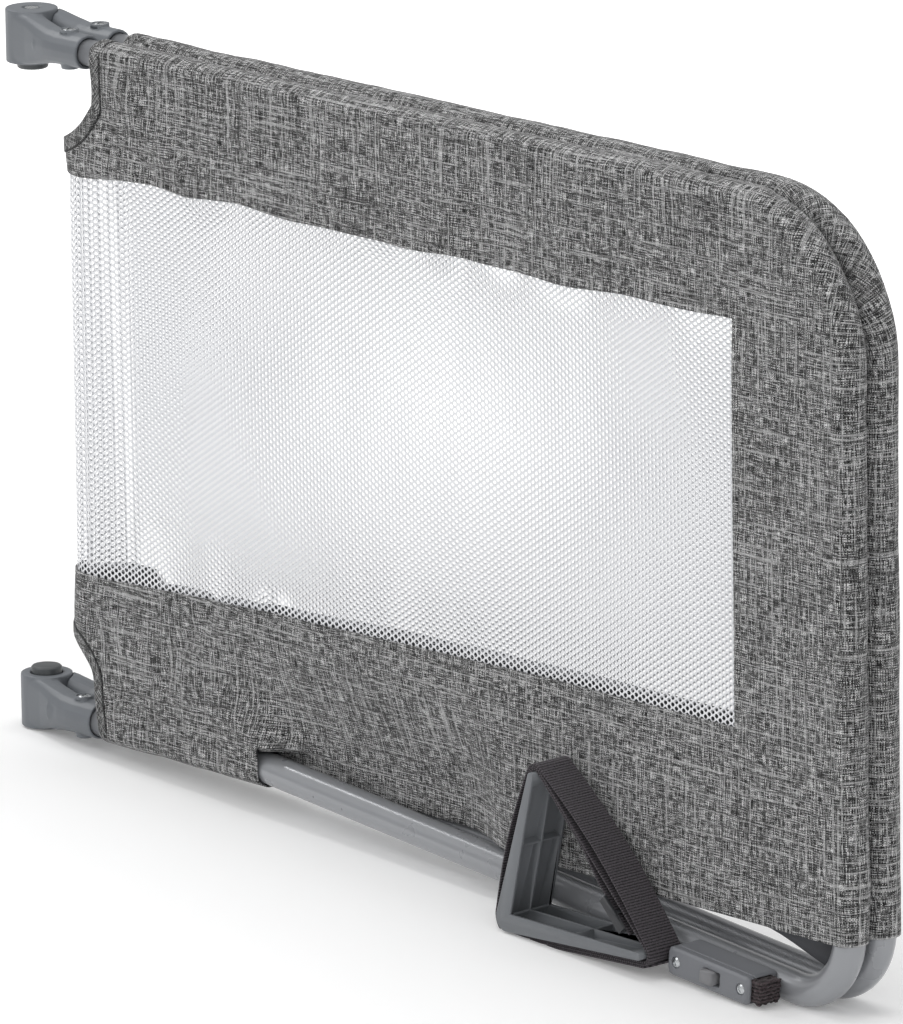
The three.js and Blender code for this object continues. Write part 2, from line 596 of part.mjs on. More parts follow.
// A strip beside an edge, on the cloth's side of it
function edgeStrip(edge, side, low, high) {
  const offset = (distance) => edge.map((point, i) => {
    const before = edge[Math.max(0, i - 1)];
    const after = edge[Math.min(edge.length - 1, i + 1)];
    const normal = leftOf(after.clone().sub(before).normalize()).multiplyScalar(side);
    return point.clone().addScaledVector(normal, distance);
  });
  return prismY(new THREE.Shape([...offset(low), ...offset(high).reverse()]), -FAR, FAR);
}

function cutOut(edge, side) {
  const inner = -FAR;
  const level = side > 0 ? TOP_AXIS_Z + FAR : -FAR;
  const points = edge.map(({ x, y }) => [x, y]);
  const outline = [[points[0][0], level], ...points, [inner, points.at(-1)[1]], [inner, level]];
  return prismY(shapeOf(outline), -FAR, FAR);
}

const windowLeft = FOLD_CENTRE_X + PLANE_Y;
const windowRight = CORNER_X - SIDE_BAND;
const windowTop = TOP_AXIS_Z - TOP_BAND;
const windowBottom = (x) => {
  const share = THREE.MathUtils.clamp((x - windowLeft) / (windowRight - windowLeft), 0, 1);
  const index = WINDOW_KNEE_SHARES.findIndex(([at], i) => i > 0 && share <= at);
  const [[from, low], [to, high]] = [WINDOW_KNEE_SHARES[index - 1], WINDOW_KNEE_SHARES[index]];
  return LOW_AXIS_Z + LOW_BAND + WINDOW_RISE * (low + (high - low) * (share - from) / (to - from));
};

function windowShape(inset, leftX) {
  const knees = WINDOW_KNEE_SHARES.map(([share]) => {
    const x = windowLeft + (windowRight - windowLeft) * share;
    return [share === 1 ? x - inset : x, windowBottom(x) + inset];
  });
  return shapeOf([
    [leftX, windowBottom(0) + inset],
    ...knees,
    [windowRight - inset, windowTop - inset],
    [leftX, windowTop - inset],
  ]);
}

function clothShell() {
  const cornerStops = topRoute.slice(1, sideStart + 1).map(({ place }) => [place.x, place.y]);
  const outline = shapeOf([
    [0, TOP_AXIS_Z], ...cornerStops, [CORNER_X, hemZ], [LOW_SLEEVE_END_X, hemZ],
    [LOW_SLEEVE_END_X, LOW_AXIS_Z], [0, LOW_AXIS_Z],
  ]);
  const plate = foldedSheet(PLANE_Y, PLANE_Y - CLOTH, outline);
  const whole = plate.add(topSleeve(0)).add(lowSleeve(0));
  return whole.subtract(topSleeve(CLOTH)).subtract(lowSleeve(CLOTH))
    .subtract(prismY(windowShape(0, 0), -FAR, FAR))
    .subtract(cutOut(upperEdge, 1)).subtract(cutOut(lowerEdge, -1));
}

function cover(shell) {
  return shell.subtract(edgeStrip(upperEdge, 1, -OVERRUN, BINDING_WIDTH + GAP))
    .subtract(edgeStrip(lowerEdge, -1, -OVERRUN, BINDING_WIDTH + GAP));
}

// The net's gaps are diamonds in two staggered sets that follow the window's slanted lower edge
function net() {
  const shape = windowShape(GAP, 0);
  const pitchX = (windowRight - windowLeft - 2 * NET_EDGE) / NET_COLUMNS;
  const diamond = (column, row) => {
    const x = windowLeft + NET_EDGE + pitchX * column;
    const low = windowBottom(x) + NET_EDGE;
    const pitchZ = (windowTop - NET_EDGE - low) / NET_ROWS;
    const z = low + pitchZ * row;
    const reach = [pitchX * NET_GAP_SHARE, pitchZ * NET_GAP_SHARE];
    const corners = [[x - reach[0], z], [x, z + reach[1]], [x + reach[0], z], [x, z - reach[1]]];
    return new THREE.Path(corners.map(([px, pz]) => new THREE.Vector2(px, pz)));
  };
  for (const shift of [0.5, 1]) {
    for (let column = shift; column < NET_COLUMNS; column += 1) {
      for (let row = shift; row < NET_ROWS; row += 1) shape.holes.push(diamond(column, row));
    }
  }
  const slack = (CLOTH - NET_THICKNESS) / 2;
  return foldedSheet(PLANE_Y - slack, PLANE_Y - slack - NET_THICKNESS, shape);
}

// Anchor bracket: a ribbed right-angled shoe that the strap goes round

const ANCHOR_REAR_Y = -PLANE_Y - ANCHOR_STANDOFF;
const ANCHOR_FRONT_Y = ANCHOR_REAR_Y - ANCHOR_WIDTH;
const CLAMP_X = CORNER_X - CLAMP_TO_CORNER;
const uprightHeading = polar(UPRIGHT_ANGLE);
const footHeading = polar(FOOT_ANGLE);
const anchorCorner = new THREE.Vector2(
  CLAMP_X - CLAMP_LENGTH / 2 - CLAMP_STANDOFF - FOOT_LENGTH * footHeading.x, ANCHOR_CORNER_Z,
);
const uprightOut = leftOf(uprightHeading);
const footOut = leftOf(footHeading).negate();
const uprightTip = anchorCorner.clone().addScaledVector(uprightHeading, UPRIGHT_LENGTH);
const footTip = anchorCorner.clone().addScaledVector(footHeading, FOOT_LENGTH);
const insideCorner = (depth) => {
  const both = uprightOut.clone().add(footOut);
  return anchorCorner.clone().addScaledVector(both, -depth / (1 + uprightOut.dot(footOut)));
};
const pivots = {
  upright: uprightTip.clone().addScaledVector(uprightOut, -ANCHOR_TIP_RADIUS),
  corner: insideCorner(ANCHOR_CORNER_RADIUS),
  foot: footTip.clone().addScaledVector(footOut, -ANCHOR_TIP_RADIUS),
};
const LEFT_NORMAL = uprightOut.angle();
const BOTTOM_NORMAL = footOut.angle();
const hypotenuse = pivots.upright.clone().sub(pivots.foot).normalize();
const TOP_NORMAL = leftOf(hypotenuse).negate().angle();

const arcPoints = (centre, radius, from, to) => {
  const steps = Math.max(1, Math.round(Math.abs(to - from) / STRAP_STEP));
  return Array.from({ length: steps + 1 }, (_, i) => {
    return centre.clone().add(polar(from + (to - from) * i / steps, radius));
  });
};

function anchorBracket() {
  const outline = [
    ...arcPoints(pivots.corner, ANCHOR_CORNER_RADIUS, LEFT_NORMAL, BOTTOM_NORMAL),
    ...arcPoints(pivots.foot, ANCHOR_TIP_RADIUS, BOTTOM_NORMAL, BOTTOM_NORMAL + Math.PI),
    insideCorner(ANCHOR_DEPTH),
    ...arcPoints(pivots.upright, ANCHOR_TIP_RADIUS, LEFT_NORMAL - Math.PI, LEFT_NORMAL),
  ];
  const inArm = (tip, heading, out, depth) => tip.clone().addScaledVector(heading, -ANCHOR_TIP_SOLID)
    .addScaledVector(out, -depth);
  const pocket = [
    ...arcPoints(pivots.corner, ANCHOR_CORNER_RADIUS - ANCHOR_WEB, LEFT_NORMAL, BOTTOM_NORMAL),
    inArm(footTip, footHeading, footOut, ANCHOR_WEB),
    inArm(footTip, footHeading, footOut, ANCHOR_WEB + ANCHOR_DEPTH),
    inArm(uprightTip, uprightHeading, uprightOut, ANCHOR_WEB + ANCHOR_DEPTH),
    inArm(uprightTip, uprightHeading, uprightOut, ANCHOR_WEB),
  ];
  const rib = (base, heading, inward) => {
    const half = heading.clone().multiplyScalar(ANCHOR_RIB / 2);
    const deep = inward.clone().multiplyScalar(ANCHOR_DEPTH + ANCHOR_CORNER_RADIUS);
    const start = base.clone().sub(half);
    const end = base.clone().add(half);
    return prismY(new THREE.Shape([start, end, end.clone().add(deep), start.clone().add(deep)]), -FAR, FAR);
  };
  const bisector = insideCorner(ANCHOR_DEPTH).sub(anchorCorner).normalize();
  const ribs = [
    rib(anchorCorner.clone().addScaledVector(uprightHeading, UPRIGHT_RIB_REACH), uprightHeading,
      uprightOut.clone().negate()),
    rib(anchorCorner.clone().addScaledVector(footHeading, FOOT_RIB_REACH), footHeading,
      footOut.clone().negate()),
    rib(anchorCorner.clone(), leftOf(bisector), bisector),
  ];
  const middle = (ANCHOR_FRONT_Y + ANCHOR_REAR_Y) / 2;
  const hollow = (low, high) => ribs.reduce(
    (left, wall) => left.subtract(wall), prismY(new THREE.Shape(pocket), low, high),
  );
  return prismY(new THREE.Shape(outline), ANCHOR_FRONT_Y, ANCHOR_REAR_Y)
    .subtract(hollow(ANCHOR_FRONT_Y + ANCHOR_WEB, middle - ANCHOR_RIB / 2))
    .subtract(hollow(middle + ANCHOR_RIB / 2, ANCHOR_REAR_Y - ANCHOR_WEB));
}

// Strap: one band from its inner tail on the slanted side, round the shoe, to the clamp

const STRAP_FIRST = STRAP_EASE + STRAP_THICKNESS / 2;
const STRAP_Y = (ANCHOR_FRONT_Y + ANCHOR_REAR_Y) / 2;
const CLAMP_Z = lowAxisZ(CLAMP_X);
const layerAt = (angle) => STRAP_FIRST + STRAP_PITCH * (angle - TOP_NORMAL) / (2 * Math.PI);
const wraps = [
  { pivot: pivots.upright, radius: ANCHOR_TIP_RADIUS, from: TOP_NORMAL, to: LEFT_NORMAL },
  { pivot: pivots.corner, radius: ANCHOR_CORNER_RADIUS, from: LEFT_NORMAL, to: BOTTOM_NORMAL },
  { pivot: pivots.foot, radius: ANCHOR_TIP_RADIUS, from: BOTTOM_NORMAL, to: TOP_NORMAL + 2 * Math.PI },
];
const onWrap = ({ pivot, radius }, angle, loop) => {
  return pivot.clone().add(polar(angle, radius + layerAt(angle + 2 * Math.PI * loop)));
};

function strapStops() {
  const onTop = (reach, sink) => {
    const start = onWrap(wraps[0], TOP_NORMAL, 0).addScaledVector(polar(TOP_NORMAL), -sink);
    return { centre: start.addScaledVector(hypotenuse, -reach), angle: TOP_NORMAL };
  };
  const stops = [
    onTop(TAIL_END_REACH, TAIL_SINK), onTop(TAIL_SINK_REACH, TAIL_SINK), onTop(TAIL_JOIN_REACH, 0),
  ];
  for (let loop = 0; loop < STRAP_LOOPS; loop += 1) {
    for (const wrap of loop + 1 < STRAP_LOOPS ? wraps : wraps.slice(0, -1)) {
      const steps = Math.round((wrap.to - wrap.from) / STRAP_STEP);
      for (let step = 0; step <= steps; step += 1) {
        const angle = wrap.from + (wrap.to - wrap.from) * step / steps;
        stops.push({ centre: onWrap(wrap, angle, loop), angle });
      }
    }
  }
  return stops.map((stop) => ({ ...stop, width: STRAP_WIDTH, y: STRAP_Y }));
}

// The lead bends up under the foot and narrows into the clamp's mouth
function strapLead() {
  const along = (x) => new THREE.Vector2(CLAMP_X, CLAMP_Z).addScaledVector(polar(-DROP_ANGLE), x);
  const level = 1.5 * Math.PI - DROP_ANGLE;
  const foot = wraps.at(-1);
  const loop = STRAP_LOOPS - 1;
  const end = onWrap(foot, foot.from + LEAD_TURN, loop);
  const mouth = along(-CLAMP_LENGTH / 2 + WEBBING_INSET);
  const { lerp } = THREE.MathUtils;
  return [
    { centre: onWrap(foot, foot.from, loop), angle: foot.from, share: 0 },
    { centre: end, angle: foot.from + LEAD_TURN, share: LEAD_BEND_SHARE },
    {
      centre: end.clone().lerp(mouth, LEAD_BEND_SHARE), angle: (level + foot.from + LEAD_TURN) / 2, share: 1,
    },
    { centre: mouth, angle: level, share: 1 },
  ].map((stop) => ({
    ...stop,
    width: lerp(STRAP_WIDTH, LEAD_WIDTH, stop.share),
    y: lerp(STRAP_Y, -HALF_SPACING - LEAD_REACH, stop.share),
  }));
}

// Least distance between the faces of layers that lie on each other, measured from stop to run
function strapGap(stops) {
  let least = Infinity;
  stops.forEach(({ centre }, i) => {
    for (let j = i + STRAP_LOOPS; j + 1 < stops.length; j += 1) {
      const run = new THREE.Line3(
        new THREE.Vector3(...stops[j].centre, 0), new THREE.Vector3(...stops[j + 1].centre, 0),
      );
      const near = run.closestPointToPoint(new THREE.Vector3(...centre, 0), true, new THREE.Vector3());
      least = Math.min(least, near.distanceTo(new THREE.Vector3(...centre, 0)) - STRAP_THICKNESS);
    }
  });
  return least;
}

function strap() {
  const wound = strapStops();
  const stops = [...wound, ...strapLead()];
  console.log(`least gap between strap layers: ${strapGap(stops).toFixed(2)} mm`);
  return loft(stops.map(({ centre, angle, width, y }) => {
    const out = polar(angle, STRAP_THICKNESS / 2);
    return [[1, 1], [1, -1], [-1, -1], [-1, 1]].map(([side, edge]) => new THREE.Vector3(
      centre.x + side * out.x, y + edge * width / 2, centre.y + side * out.y,
    ));
  }));
}

// Slide buckle in a frame with X down the slanted side and Z away from the bracket
function buckle() {
  const half = BUCKLE_LENGTH / 2;
  const inner = STRAP_WIDTH / 2 + BUCKLE_EASE;
  const outer = inner + BUCKLE_BAR;
  const near = STRAP_THICKNESS / 2 + BUCKLE_EASE;
  const far = near + BUCKLE_THICKNESS;
  const rail = (side) => block([-half, half], side > 0 ? [inner, outer] : [-outer, -inner], [-far, far]);
  const bar = (x, side) => block([x - BUCKLE_BAR / 2, x + BUCKLE_BAR / 2], [-outer, outer],
    side > 0 ? [near, far] : [-far, -near]);
  const ends = bar(half - BUCKLE_BAR / 2, -1).add(bar(BUCKLE_BAR / 2 - half, -1));
  return rail(1).add(rail(-1)).add(ends).add(bar(0, 1));
}

// Tube clamp, in a frame with X along the tube and the tube's axis at y = z = 0

const CASE_HALF_X = CLAMP_LENGTH / 2;
const CASE_HALF_Z = CLAMP_HEIGHT / 2;

function caseRing(y, inset) {
  const points = [];
  const radius = CLAMP_CORNER_RADIUS;
  for (const [sx, sz, from] of [[1, 1, 0], [-1, 1, 0.5], [-1, -1, 1], [1, -1, 1.5]]) {
    const [x, z] = [CASE_HALF_X - radius - inset, CASE_HALF_Z - radius - inset];
    for (const step of [0, 1, 2]) {
      points.push(new THREE.Vector2(sx * x, sz * z).add(polar(Math.PI * (from + step / 4), radius)));
    }
  }
  return points.map((point) => new THREE.Vector3(point.x, y, point.y));
}

const caseSolid = (rings) => loft(rings.map(([y, inset]) => caseRing(-y, inset)));

const slotSpan = [SWITCH_SLOT_START, SWITCH_SLOT_START + SWITCH_LENGTH + SWITCH_TRAVEL + 2 * GAP];
const flangeSpan = [
  slotSpan[0] + GAP - SWITCH_FLANGE, slotSpan[0] + GAP + SWITCH_LENGTH + SWITCH_FLANGE,
];
const webbingSpan = [CASE_HALF_X - WEBBING_INSET, CASE_HALF_X + WEBBING_REACH];
const webbingPocket = () => block([webbingSpan[0] - GAP, webbingSpan[1]],
  [-WEBBING_FRONT - GAP, -WEBBING_BACK + GAP], [-WEBBING_HEIGHT / 2 - GAP, WEBBING_HEIGHT / 2 + GAP]);
const leadPocket = () => block([-CASE_HALF_X - OVERRUN, -CASE_HALF_X + WEBBING_INSET + GAP],
  [-LEAD_REACH - LEAD_WIDTH / 2 - OVERRUN, -LEAD_REACH + LEAD_WIDTH / 2 + OVERRUN],
  [-CASE_HALF_Z + CLAMP_CORNER_RADIUS, CASE_HALF_Z - CLAMP_CORNER_RADIUS]);
const clampPilot = (x) => rod('y', CLAMP_SCREW_RADIUS + GAP, -CLAMP_FRONT - OVERRUN,
  -CLAMP_FRONT + CLAMP_SCREW_RECESS + CLAMP_SCREW_LENGTH + GAP, { x }, SMALL_SIDES / 2);

function clampBody() {
  const shell = caseSolid([[CLAMP_SPLIT - GAP / 2, 0], [CLAMP_BACK, 0]]);
  const seat = rod('x', LOW_TUBE_RADIUS + GAP, -CASE_HALF_X - OVERRUN, CASE_HALF_X + OVERRUN);
  const switchPocket = block([flangeSpan[0] - GAP, flangeSpan[1] + SWITCH_TRAVEL + GAP],
    [-CLAMP_SPLIT - OVERRUN, -CLAMP_SPLIT + SWITCH_FLANGE_THICKNESS + 2 * GAP],
    [-SWITCH_HEIGHT / 2 - SWITCH_FLANGE - GAP, SWITCH_HEIGHT / 2 + SWITCH_FLANGE + GAP]);
  return shell.subtract(seat).subtract(switchPocket).subtract(webbingPocket()).subtract(leadPocket())
    .subtract(clampPilot(-CLAMP_SCREW_X)).subtract(clampPilot(CLAMP_SCREW_X));
}

function clampFront() {
  const rings = [[CLAMP_FRONT, CLAMP_EDGE], [CLAMP_FRONT - CLAMP_EDGE, 0], [CLAMP_SPLIT + GAP / 2, 0]];
  const slot = block(slotSpan, [-CLAMP_FRONT - OVERRUN, -CLAMP_SPLIT + OVERRUN],
    [-SWITCH_HEIGHT / 2 - GAP, SWITCH_HEIGHT / 2 + GAP]);
  const recess = (x) => rod('y', CLAMP_SCREW_HEAD_RADIUS + GAP, -CLAMP_FRONT - OVERRUN,
    -CLAMP_FRONT + CLAMP_SCREW_RECESS, { x }, SMALL_SIDES);
  return [slot, webbingPocket(), recess(-CLAMP_SCREW_X), recess(CLAMP_SCREW_X), clampPilot(-CLAMP_SCREW_X),
    clampPilot(CLAMP_SCREW_X)].reduce((left, cut) => left.subtract(cut), caseSolid(rings));
}

function clampScrew() {
  const seat = -CLAMP_FRONT + CLAMP_SCREW_RECESS - GAP;
  const head = rod('y', CLAMP_SCREW_HEAD_RADIUS, seat - CLAMP_SCREW_HEAD_HEIGHT, seat, {}, SMALL_SIDES);
  const shankStart = seat - CLAMP_SCREW_HEAD_HEIGHT / 2;
  const shank = rod('y', CLAMP_SCREW_RADIUS, shankStart, seat + CLAMP_SCREW_LENGTH, {}, SMALL_SIDES / 2);
  return head.add(shank);
}

function clampSwitch() {
  const start = slotSpan[0] + GAP;
  const back = -CLAMP_SPLIT + SWITCH_FLANGE_THICKNESS + GAP;
  const grip = block([start, start + SWITCH_LENGTH], [-CLAMP_FRONT - SWITCH_PROUD, back],
    [-SWITCH_HEIGHT / 2, SWITCH_HEIGHT / 2]);
  const flange = block(flangeSpan, [back - SWITCH_FLANGE_THICKNESS, back],
    [-SWITCH_HEIGHT / 2 - SWITCH_FLANGE, SWITCH_HEIGHT / 2 + SWITCH_FLANGE]);
  return grip.add(flange);
}

const strapTail = () => block(webbingSpan, [-WEBBING_FRONT, -WEBBING_BACK],
  [-WEBBING_HEIGHT / 2, WEBBING_HEIGHT / 2]);

// Assembly

const rail = new THREE.Group();
const leftEnd = -BARREL_RADIUS;
const rightEnd = CORNER_X + LOW_TUBE_RADIUS + SLEEVE_EASE + CLOTH;
rail.position.set(-(leftEnd + rightEnd) / 2, -(ANCHOR_FRONT_Y + PLANE_Y) / 2, 0);

const shell = clothShell();
for (const half of ['front', 'rear']) {
  const group = new THREE.Group();
  group.scale.y = half === 'front' ? 1 : -1;
  rail.add(group);
  const tubes = new THREE.Group();
  tubes.position.y = -HALF_SPACING;
  group.add(tubes);
  piece(`${half}_upper_tube`, tube(topRoute, TOP_TUBE_RADIUS, TOP_AXIS_Z), FINISHES.tube, tubes);
  piece(`${half}_lower_tube`, tube(lowRoute, LOW_TUBE_RADIUS, LOW_AXIS_Z), FINISHES.tube, tubes);
  piece(`${half}_tube_rivet`, rivet(), FINISHES.zinc, tubes);
  piece(`${half}_cover`, cover(shell), FINISHES.cloth, group);
  piece(`${half}_upper_binding`, shell.intersect(edgeStrip(upperEdge, 1, -OVERRUN, BINDING_WIDTH)),
    FINISHES.binding, group);
  piece(`${half}_lower_binding`, shell.intersect(edgeStrip(lowerEdge, -1, -OVERRUN, BINDING_WIDTH)),
    FINISHES.binding, group);
  piece(`${half}_mesh`, net(), FINISHES.net, group);
}

for (const [level, hinge, height] of [['upper', UPPER, TOP_AXIS_Z], ['lower', LOWER, LOW_AXIS_Z]]) {
  const group = new THREE.Group();
  group.position.z = height;
  rail.add(group);
  piece(`${level}_front_knuckle`, frontKnuckle(hinge), FINISHES.plastic, group);
  piece(`${level}_rear_knuckle`, rearKnuckle(hinge), FINISHES.plastic, group);
  for (const [half, side] of [['front', -1], ['rear', 1]]) {
    const screw = piece(`${level}_${half}_socket_screw`, socketScrew(hinge), FINISHES.zinc, group);
    screw.position.set(SCREW_X, side * HALF_SPACING, 0);
  }
  const lock = new THREE.Group();
  lock.rotation.x = hinge.buttonSide > 0 ? 0 : Math.PI;
  group.add(lock);
  piece(`${level}_axle`, axle(), FINISHES.zinc, lock);
  piece(`${level}_button`, button(), FINISHES.button, lock);
  piece(`${level}_spring`, spring(), FINISHES.zinc, lock);
}

piece('anchor_bracket', anchorBracket(), FINISHES.anchor, rail);
piece('anchor_strap', strap(), FINISHES.strap, rail);
const slide = piece('strap_buckle', buckle(), FINISHES.strap, rail);
const slidePlace = pivots.upright.clone().addScaledVector(hypotenuse, -BUCKLE_REACH)
  .add(polar(TOP_NORMAL, ANCHOR_TIP_RADIUS + STRAP_FIRST - TAIL_SINK));
slide.position.set(slidePlace.x, STRAP_Y, slidePlace.y);
slide.rotation.y = Math.PI / 2 - TOP_NORMAL;

const clamp = new THREE.Group();
clamp.position.set(CLAMP_X, -HALF_SPACING, CLAMP_Z);
clamp.rotation.y = DROP_ANGLE;
rail.add(clamp);
piece('clamp_body', clampBody(), FINISHES.clampCase, clamp);
piece('clamp_front', clampFront(), FINISHES.clampCase, clamp);
piece('clamp_switch', clampSwitch(), FINISHES.clampSwitch, clamp);
piece('strap_tail', strapTail(), FINISHES.strap, clamp);
for (const [side, x] of [['left', -CLAMP_SCREW_X], ['right', CLAMP_SCREW_X]]) {
  piece(`clamp_screw_${side}`, clampScrew(), FINISHES.zinc, clamp).position.x = x;
}

export default rail;
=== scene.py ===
"""Folding bed guard rail: the finished surfaces, cloth and net round the rail's frame.

Lengths are in metres. The builders work in the rail's own frame, with the fold axis at x = y = 0, and
each finished mesh is then moved to where the frame holds the rail. Two rail halves lie on each other:
the front one is built at y < 0 and the rear one is its mirror image.
"""
import logging
import math
from dataclasses import dataclass
from enum import Enum
from itertools import accumulate
from typing import Callable, Iterable, Sequence

import bmesh
import bpy
from mathutils import Matrix, Vector, noise

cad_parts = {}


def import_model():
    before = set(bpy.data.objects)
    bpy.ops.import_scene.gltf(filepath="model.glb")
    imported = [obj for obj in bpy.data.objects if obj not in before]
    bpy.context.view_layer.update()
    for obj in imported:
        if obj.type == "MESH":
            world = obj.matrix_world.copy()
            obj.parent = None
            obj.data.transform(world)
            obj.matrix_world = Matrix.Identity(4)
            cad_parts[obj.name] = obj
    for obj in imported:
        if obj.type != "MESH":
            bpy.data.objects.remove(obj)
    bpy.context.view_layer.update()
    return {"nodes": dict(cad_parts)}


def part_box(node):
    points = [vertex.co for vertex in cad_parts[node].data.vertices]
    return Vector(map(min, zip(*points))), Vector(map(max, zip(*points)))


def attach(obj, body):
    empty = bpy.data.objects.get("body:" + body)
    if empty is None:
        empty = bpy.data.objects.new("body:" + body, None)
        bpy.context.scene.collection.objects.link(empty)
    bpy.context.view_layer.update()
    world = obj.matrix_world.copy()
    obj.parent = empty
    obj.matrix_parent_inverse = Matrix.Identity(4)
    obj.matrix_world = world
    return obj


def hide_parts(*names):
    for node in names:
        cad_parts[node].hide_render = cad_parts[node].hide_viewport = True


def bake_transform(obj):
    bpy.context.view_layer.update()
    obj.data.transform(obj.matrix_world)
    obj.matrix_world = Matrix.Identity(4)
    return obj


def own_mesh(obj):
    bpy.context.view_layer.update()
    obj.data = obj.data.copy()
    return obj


BMesh = bmesh.types.BMesh
Material = bpy.types.Material
Object = bpy.types.Object
Socket = bpy.types.NodeSocket

LOG = logging.getLogger("guard_rail")
MM = 0.001


class Side(Enum):
    """The two halves of the folded rail."""

    FRONT = "front"
    REAR = "rear"

    @property
    def body(self) -> str:
        """The CAD body that this half's pieces ride on."""
        return f"{self.value}_half"


def smooth_step(low: float, high: float, value: float) -> float:
    """Rises smoothly from 0 at low to 1 at high."""
    share = min(1.0, max(0.0, (value - low) / (high - low)))
    return share * share * (3 - 2 * share)


def lerp(start: float, end: float, share: float) -> float:
    """The value at a share of the way from start to end."""
    return start + (end - start) * share


def lengths_to(points: Sequence[Vector]) -> list[float]:
    """The length of the way from the first point to each point."""
    return [0.0, *accumulate((end - start).length for start, end in zip(points, points[1:]))]


@dataclass(frozen=True)
class Layout:
    """Places of the rail that its pieces share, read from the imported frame.

    Args:
        fold: The fold axis in the frame, at floor level.
        half_spacing: Mid-plane to the centre line of one half's tubes.
        top_z: Height of the upper tubes' centre line.
        low_z: Height of the lower tubes' centre line at the hinge.
        corner_x: Fold axis to the centre line of the outer uprights.
        top_radius: Radius of the upper tubes.
        low_radius: Radius of the lower tubes.
    """

    fold: Vector
    half_spacing: float
    top_z: float
    low_z: float
    corner_x: float
    top_radius: float
    low_radius: float

    @classmethod
    def from_frame(cls) -> "Layout":
        """Measures the frame's axles, tubes and lower knuckle.

        Returns:
            The layout.
        """
        axle_low, axle_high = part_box("upper_axle")
        fold = (axle_low + axle_high) / 2
        fold.z = 0
        top_low, top_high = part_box("front_upper_tube")
        low_low, low_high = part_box("front_lower_tube")
        knuckle_low, knuckle_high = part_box("lower_front_knuckle")
        top_radius = (top_high.y - top_low.y) / 2
        return cls(
            fold=fold,
            half_spacing=fold.y - (top_low.y + top_high.y) / 2,
            top_z=top_high.z - top_radius,
            low_z=(knuckle_low.z + knuckle_high.z) / 2,
            corner_x=top_high.x - top_radius - fold.x,
            top_radius=top_radius,
            low_radius=(low_high.y - low_low.y) / 2,
        )

    def seat(self, bm: BMesh, side: Side = Side.FRONT) -> None:
        """Mirrors a front piece for the rear half, and moves a piece to its place in the frame.

        Args:
            bm: The piece, built in the rail's own frame.
            side: The half that it is for.
        """
        if side is Side.REAR:
            bmesh.ops.scale(bm, vec=(1, -1, 1), verts=bm.verts)
            bmesh.ops.reverse_faces(bm, faces=bm.faces)
        bmesh.ops.translate(bm, vec=self.fold, verts=bm.verts)


# Materials


class Nodes:
    """A node tree, with short calls for the nodes that the finishes and the world use."""

    def __init__(self, tree: bpy.types.NodeTree) -> None:
        """Takes the tree that the calls add to."""
        self.tree = tree

    def node(self, kind: str, inputs: dict | None = None, **settings: object) -> bpy.types.Node:
        """Adds a node.

        Args:
            kind: The node's type without the ShaderNode prefix.
            inputs: Socket name or number to a value or to another node's output.
            **settings: Attributes of the node.

        Returns:
            The new node.
        """
        made = self.tree.nodes.new(f"ShaderNode{kind}")
        for name, value in settings.items():
            setattr(made, name, value)
        for key, value in (inputs or {}).items():
            self.feed(made.inputs[key], value)
        return made

    def feed(self, socket: Socket, value: object) -> None:
        """Links an output to a socket, or sets the socket's own value.

        Args:
            socket: The input.
            value: A node's output, or the value.
        """
        if isinstance(value, Socket):
            self.tree.links.new(value, socket)
        else:
            socket.default_value = value

    def math(self, operation: str, *values: object) -> Socket:
        """The output of a Math node."""
        return self.node("Math", dict(enumerate(values)), operation=operation).outputs[0]


class Shader(Nodes):
    """A material's node tree and its surface."""

    def __init__(self, name: str) -> None:
        """Starts a material that holds only a Principled BSDF and its output.

        Args:
            name: The material's name.
        """
        self.material = bpy.data.materials.new(name)
        self.material.use_nodes = True
        super().__init__(self.material.node_tree)
        self.bsdf = self.tree.nodes["Principled BSDF"]

    def noise(self, vector: Socket, stretch: Sequence[float], detail: float = 2) -> Socket:
        """Noise over a vector.

        Args:
            vector: Where it is read.
            stretch: Its count per metre along each axis.
            detail: Its layers.

        Returns:
            The noise's output.
        """
        place = self.node("Mapping", {"Vector": vector, "Scale": stretch}).outputs[0]
        made = self.node("TexNoise", {"Vector": place, "Scale": 1.0, "Detail": detail})
        return made.outputs[0]

    def ramp(self, factor: Socket, stops: Iterable[tuple[float, float]]) -> Socket:
        """A grey ramp.

        Args:
            factor: What it is read by.
            stops: Its stops as (place, level).

        Returns:
            The ramp's output.
        """
        made = self.node("ValToRGB", {"Fac": factor})
        elements = made.color_ramp.elements
        stops = list(stops)
        while len(elements) < len(stops):
            elements.new(0.5)
        for element, (place, level) in zip(elements, stops):
            element.position = place
            element.color = (level, level, level, 1)
        return made.outputs[0]

    def mix(self, factor: object, first: object, second: object, blend: str = "MIX") -> Socket:
        """The colour output of a Mix node.

        Args:
            factor: The second colour's share.
            first: The first colour.
            second: The second colour.
            blend: How they are mixed.

        Returns:
            The mixed colour.
        """
        made = self.node("Mix", data_type="RGBA", blend_type=blend)
        for socket, value in zip((made.inputs[0], made.inputs[6], made.inputs[7]), (factor, first, second)):
            self.feed(socket, value)
        return made.outputs[2]

    def bump(self, height: Socket, depth: float, strength: float = 1.0) -> None:
        """Feeds a bump of a depth in metres to the surface's normal."""
        made = self.node("Bump", {"Height": height, "Distance": depth, "Strength": strength})
        self.feed(self.bsdf.inputs["Normal"], made.outputs[0])

    def set(self, **values: object) -> None:
        """Feeds the surface's sockets, named with _ for a space."""
        for name, value in values.items():
            self.feed(self.bsdf.inputs[name.replace("_", " ")], value)

    @property
    def uv(self) -> Socket:
        """The piece's own UV map."""
        return self.node("TexCoord").outputs["UV"]

    @property
    def place(self) -> Socket:
        """The place on the piece, in metres."""
        return self.node("TexCoord").outputs["Object"]


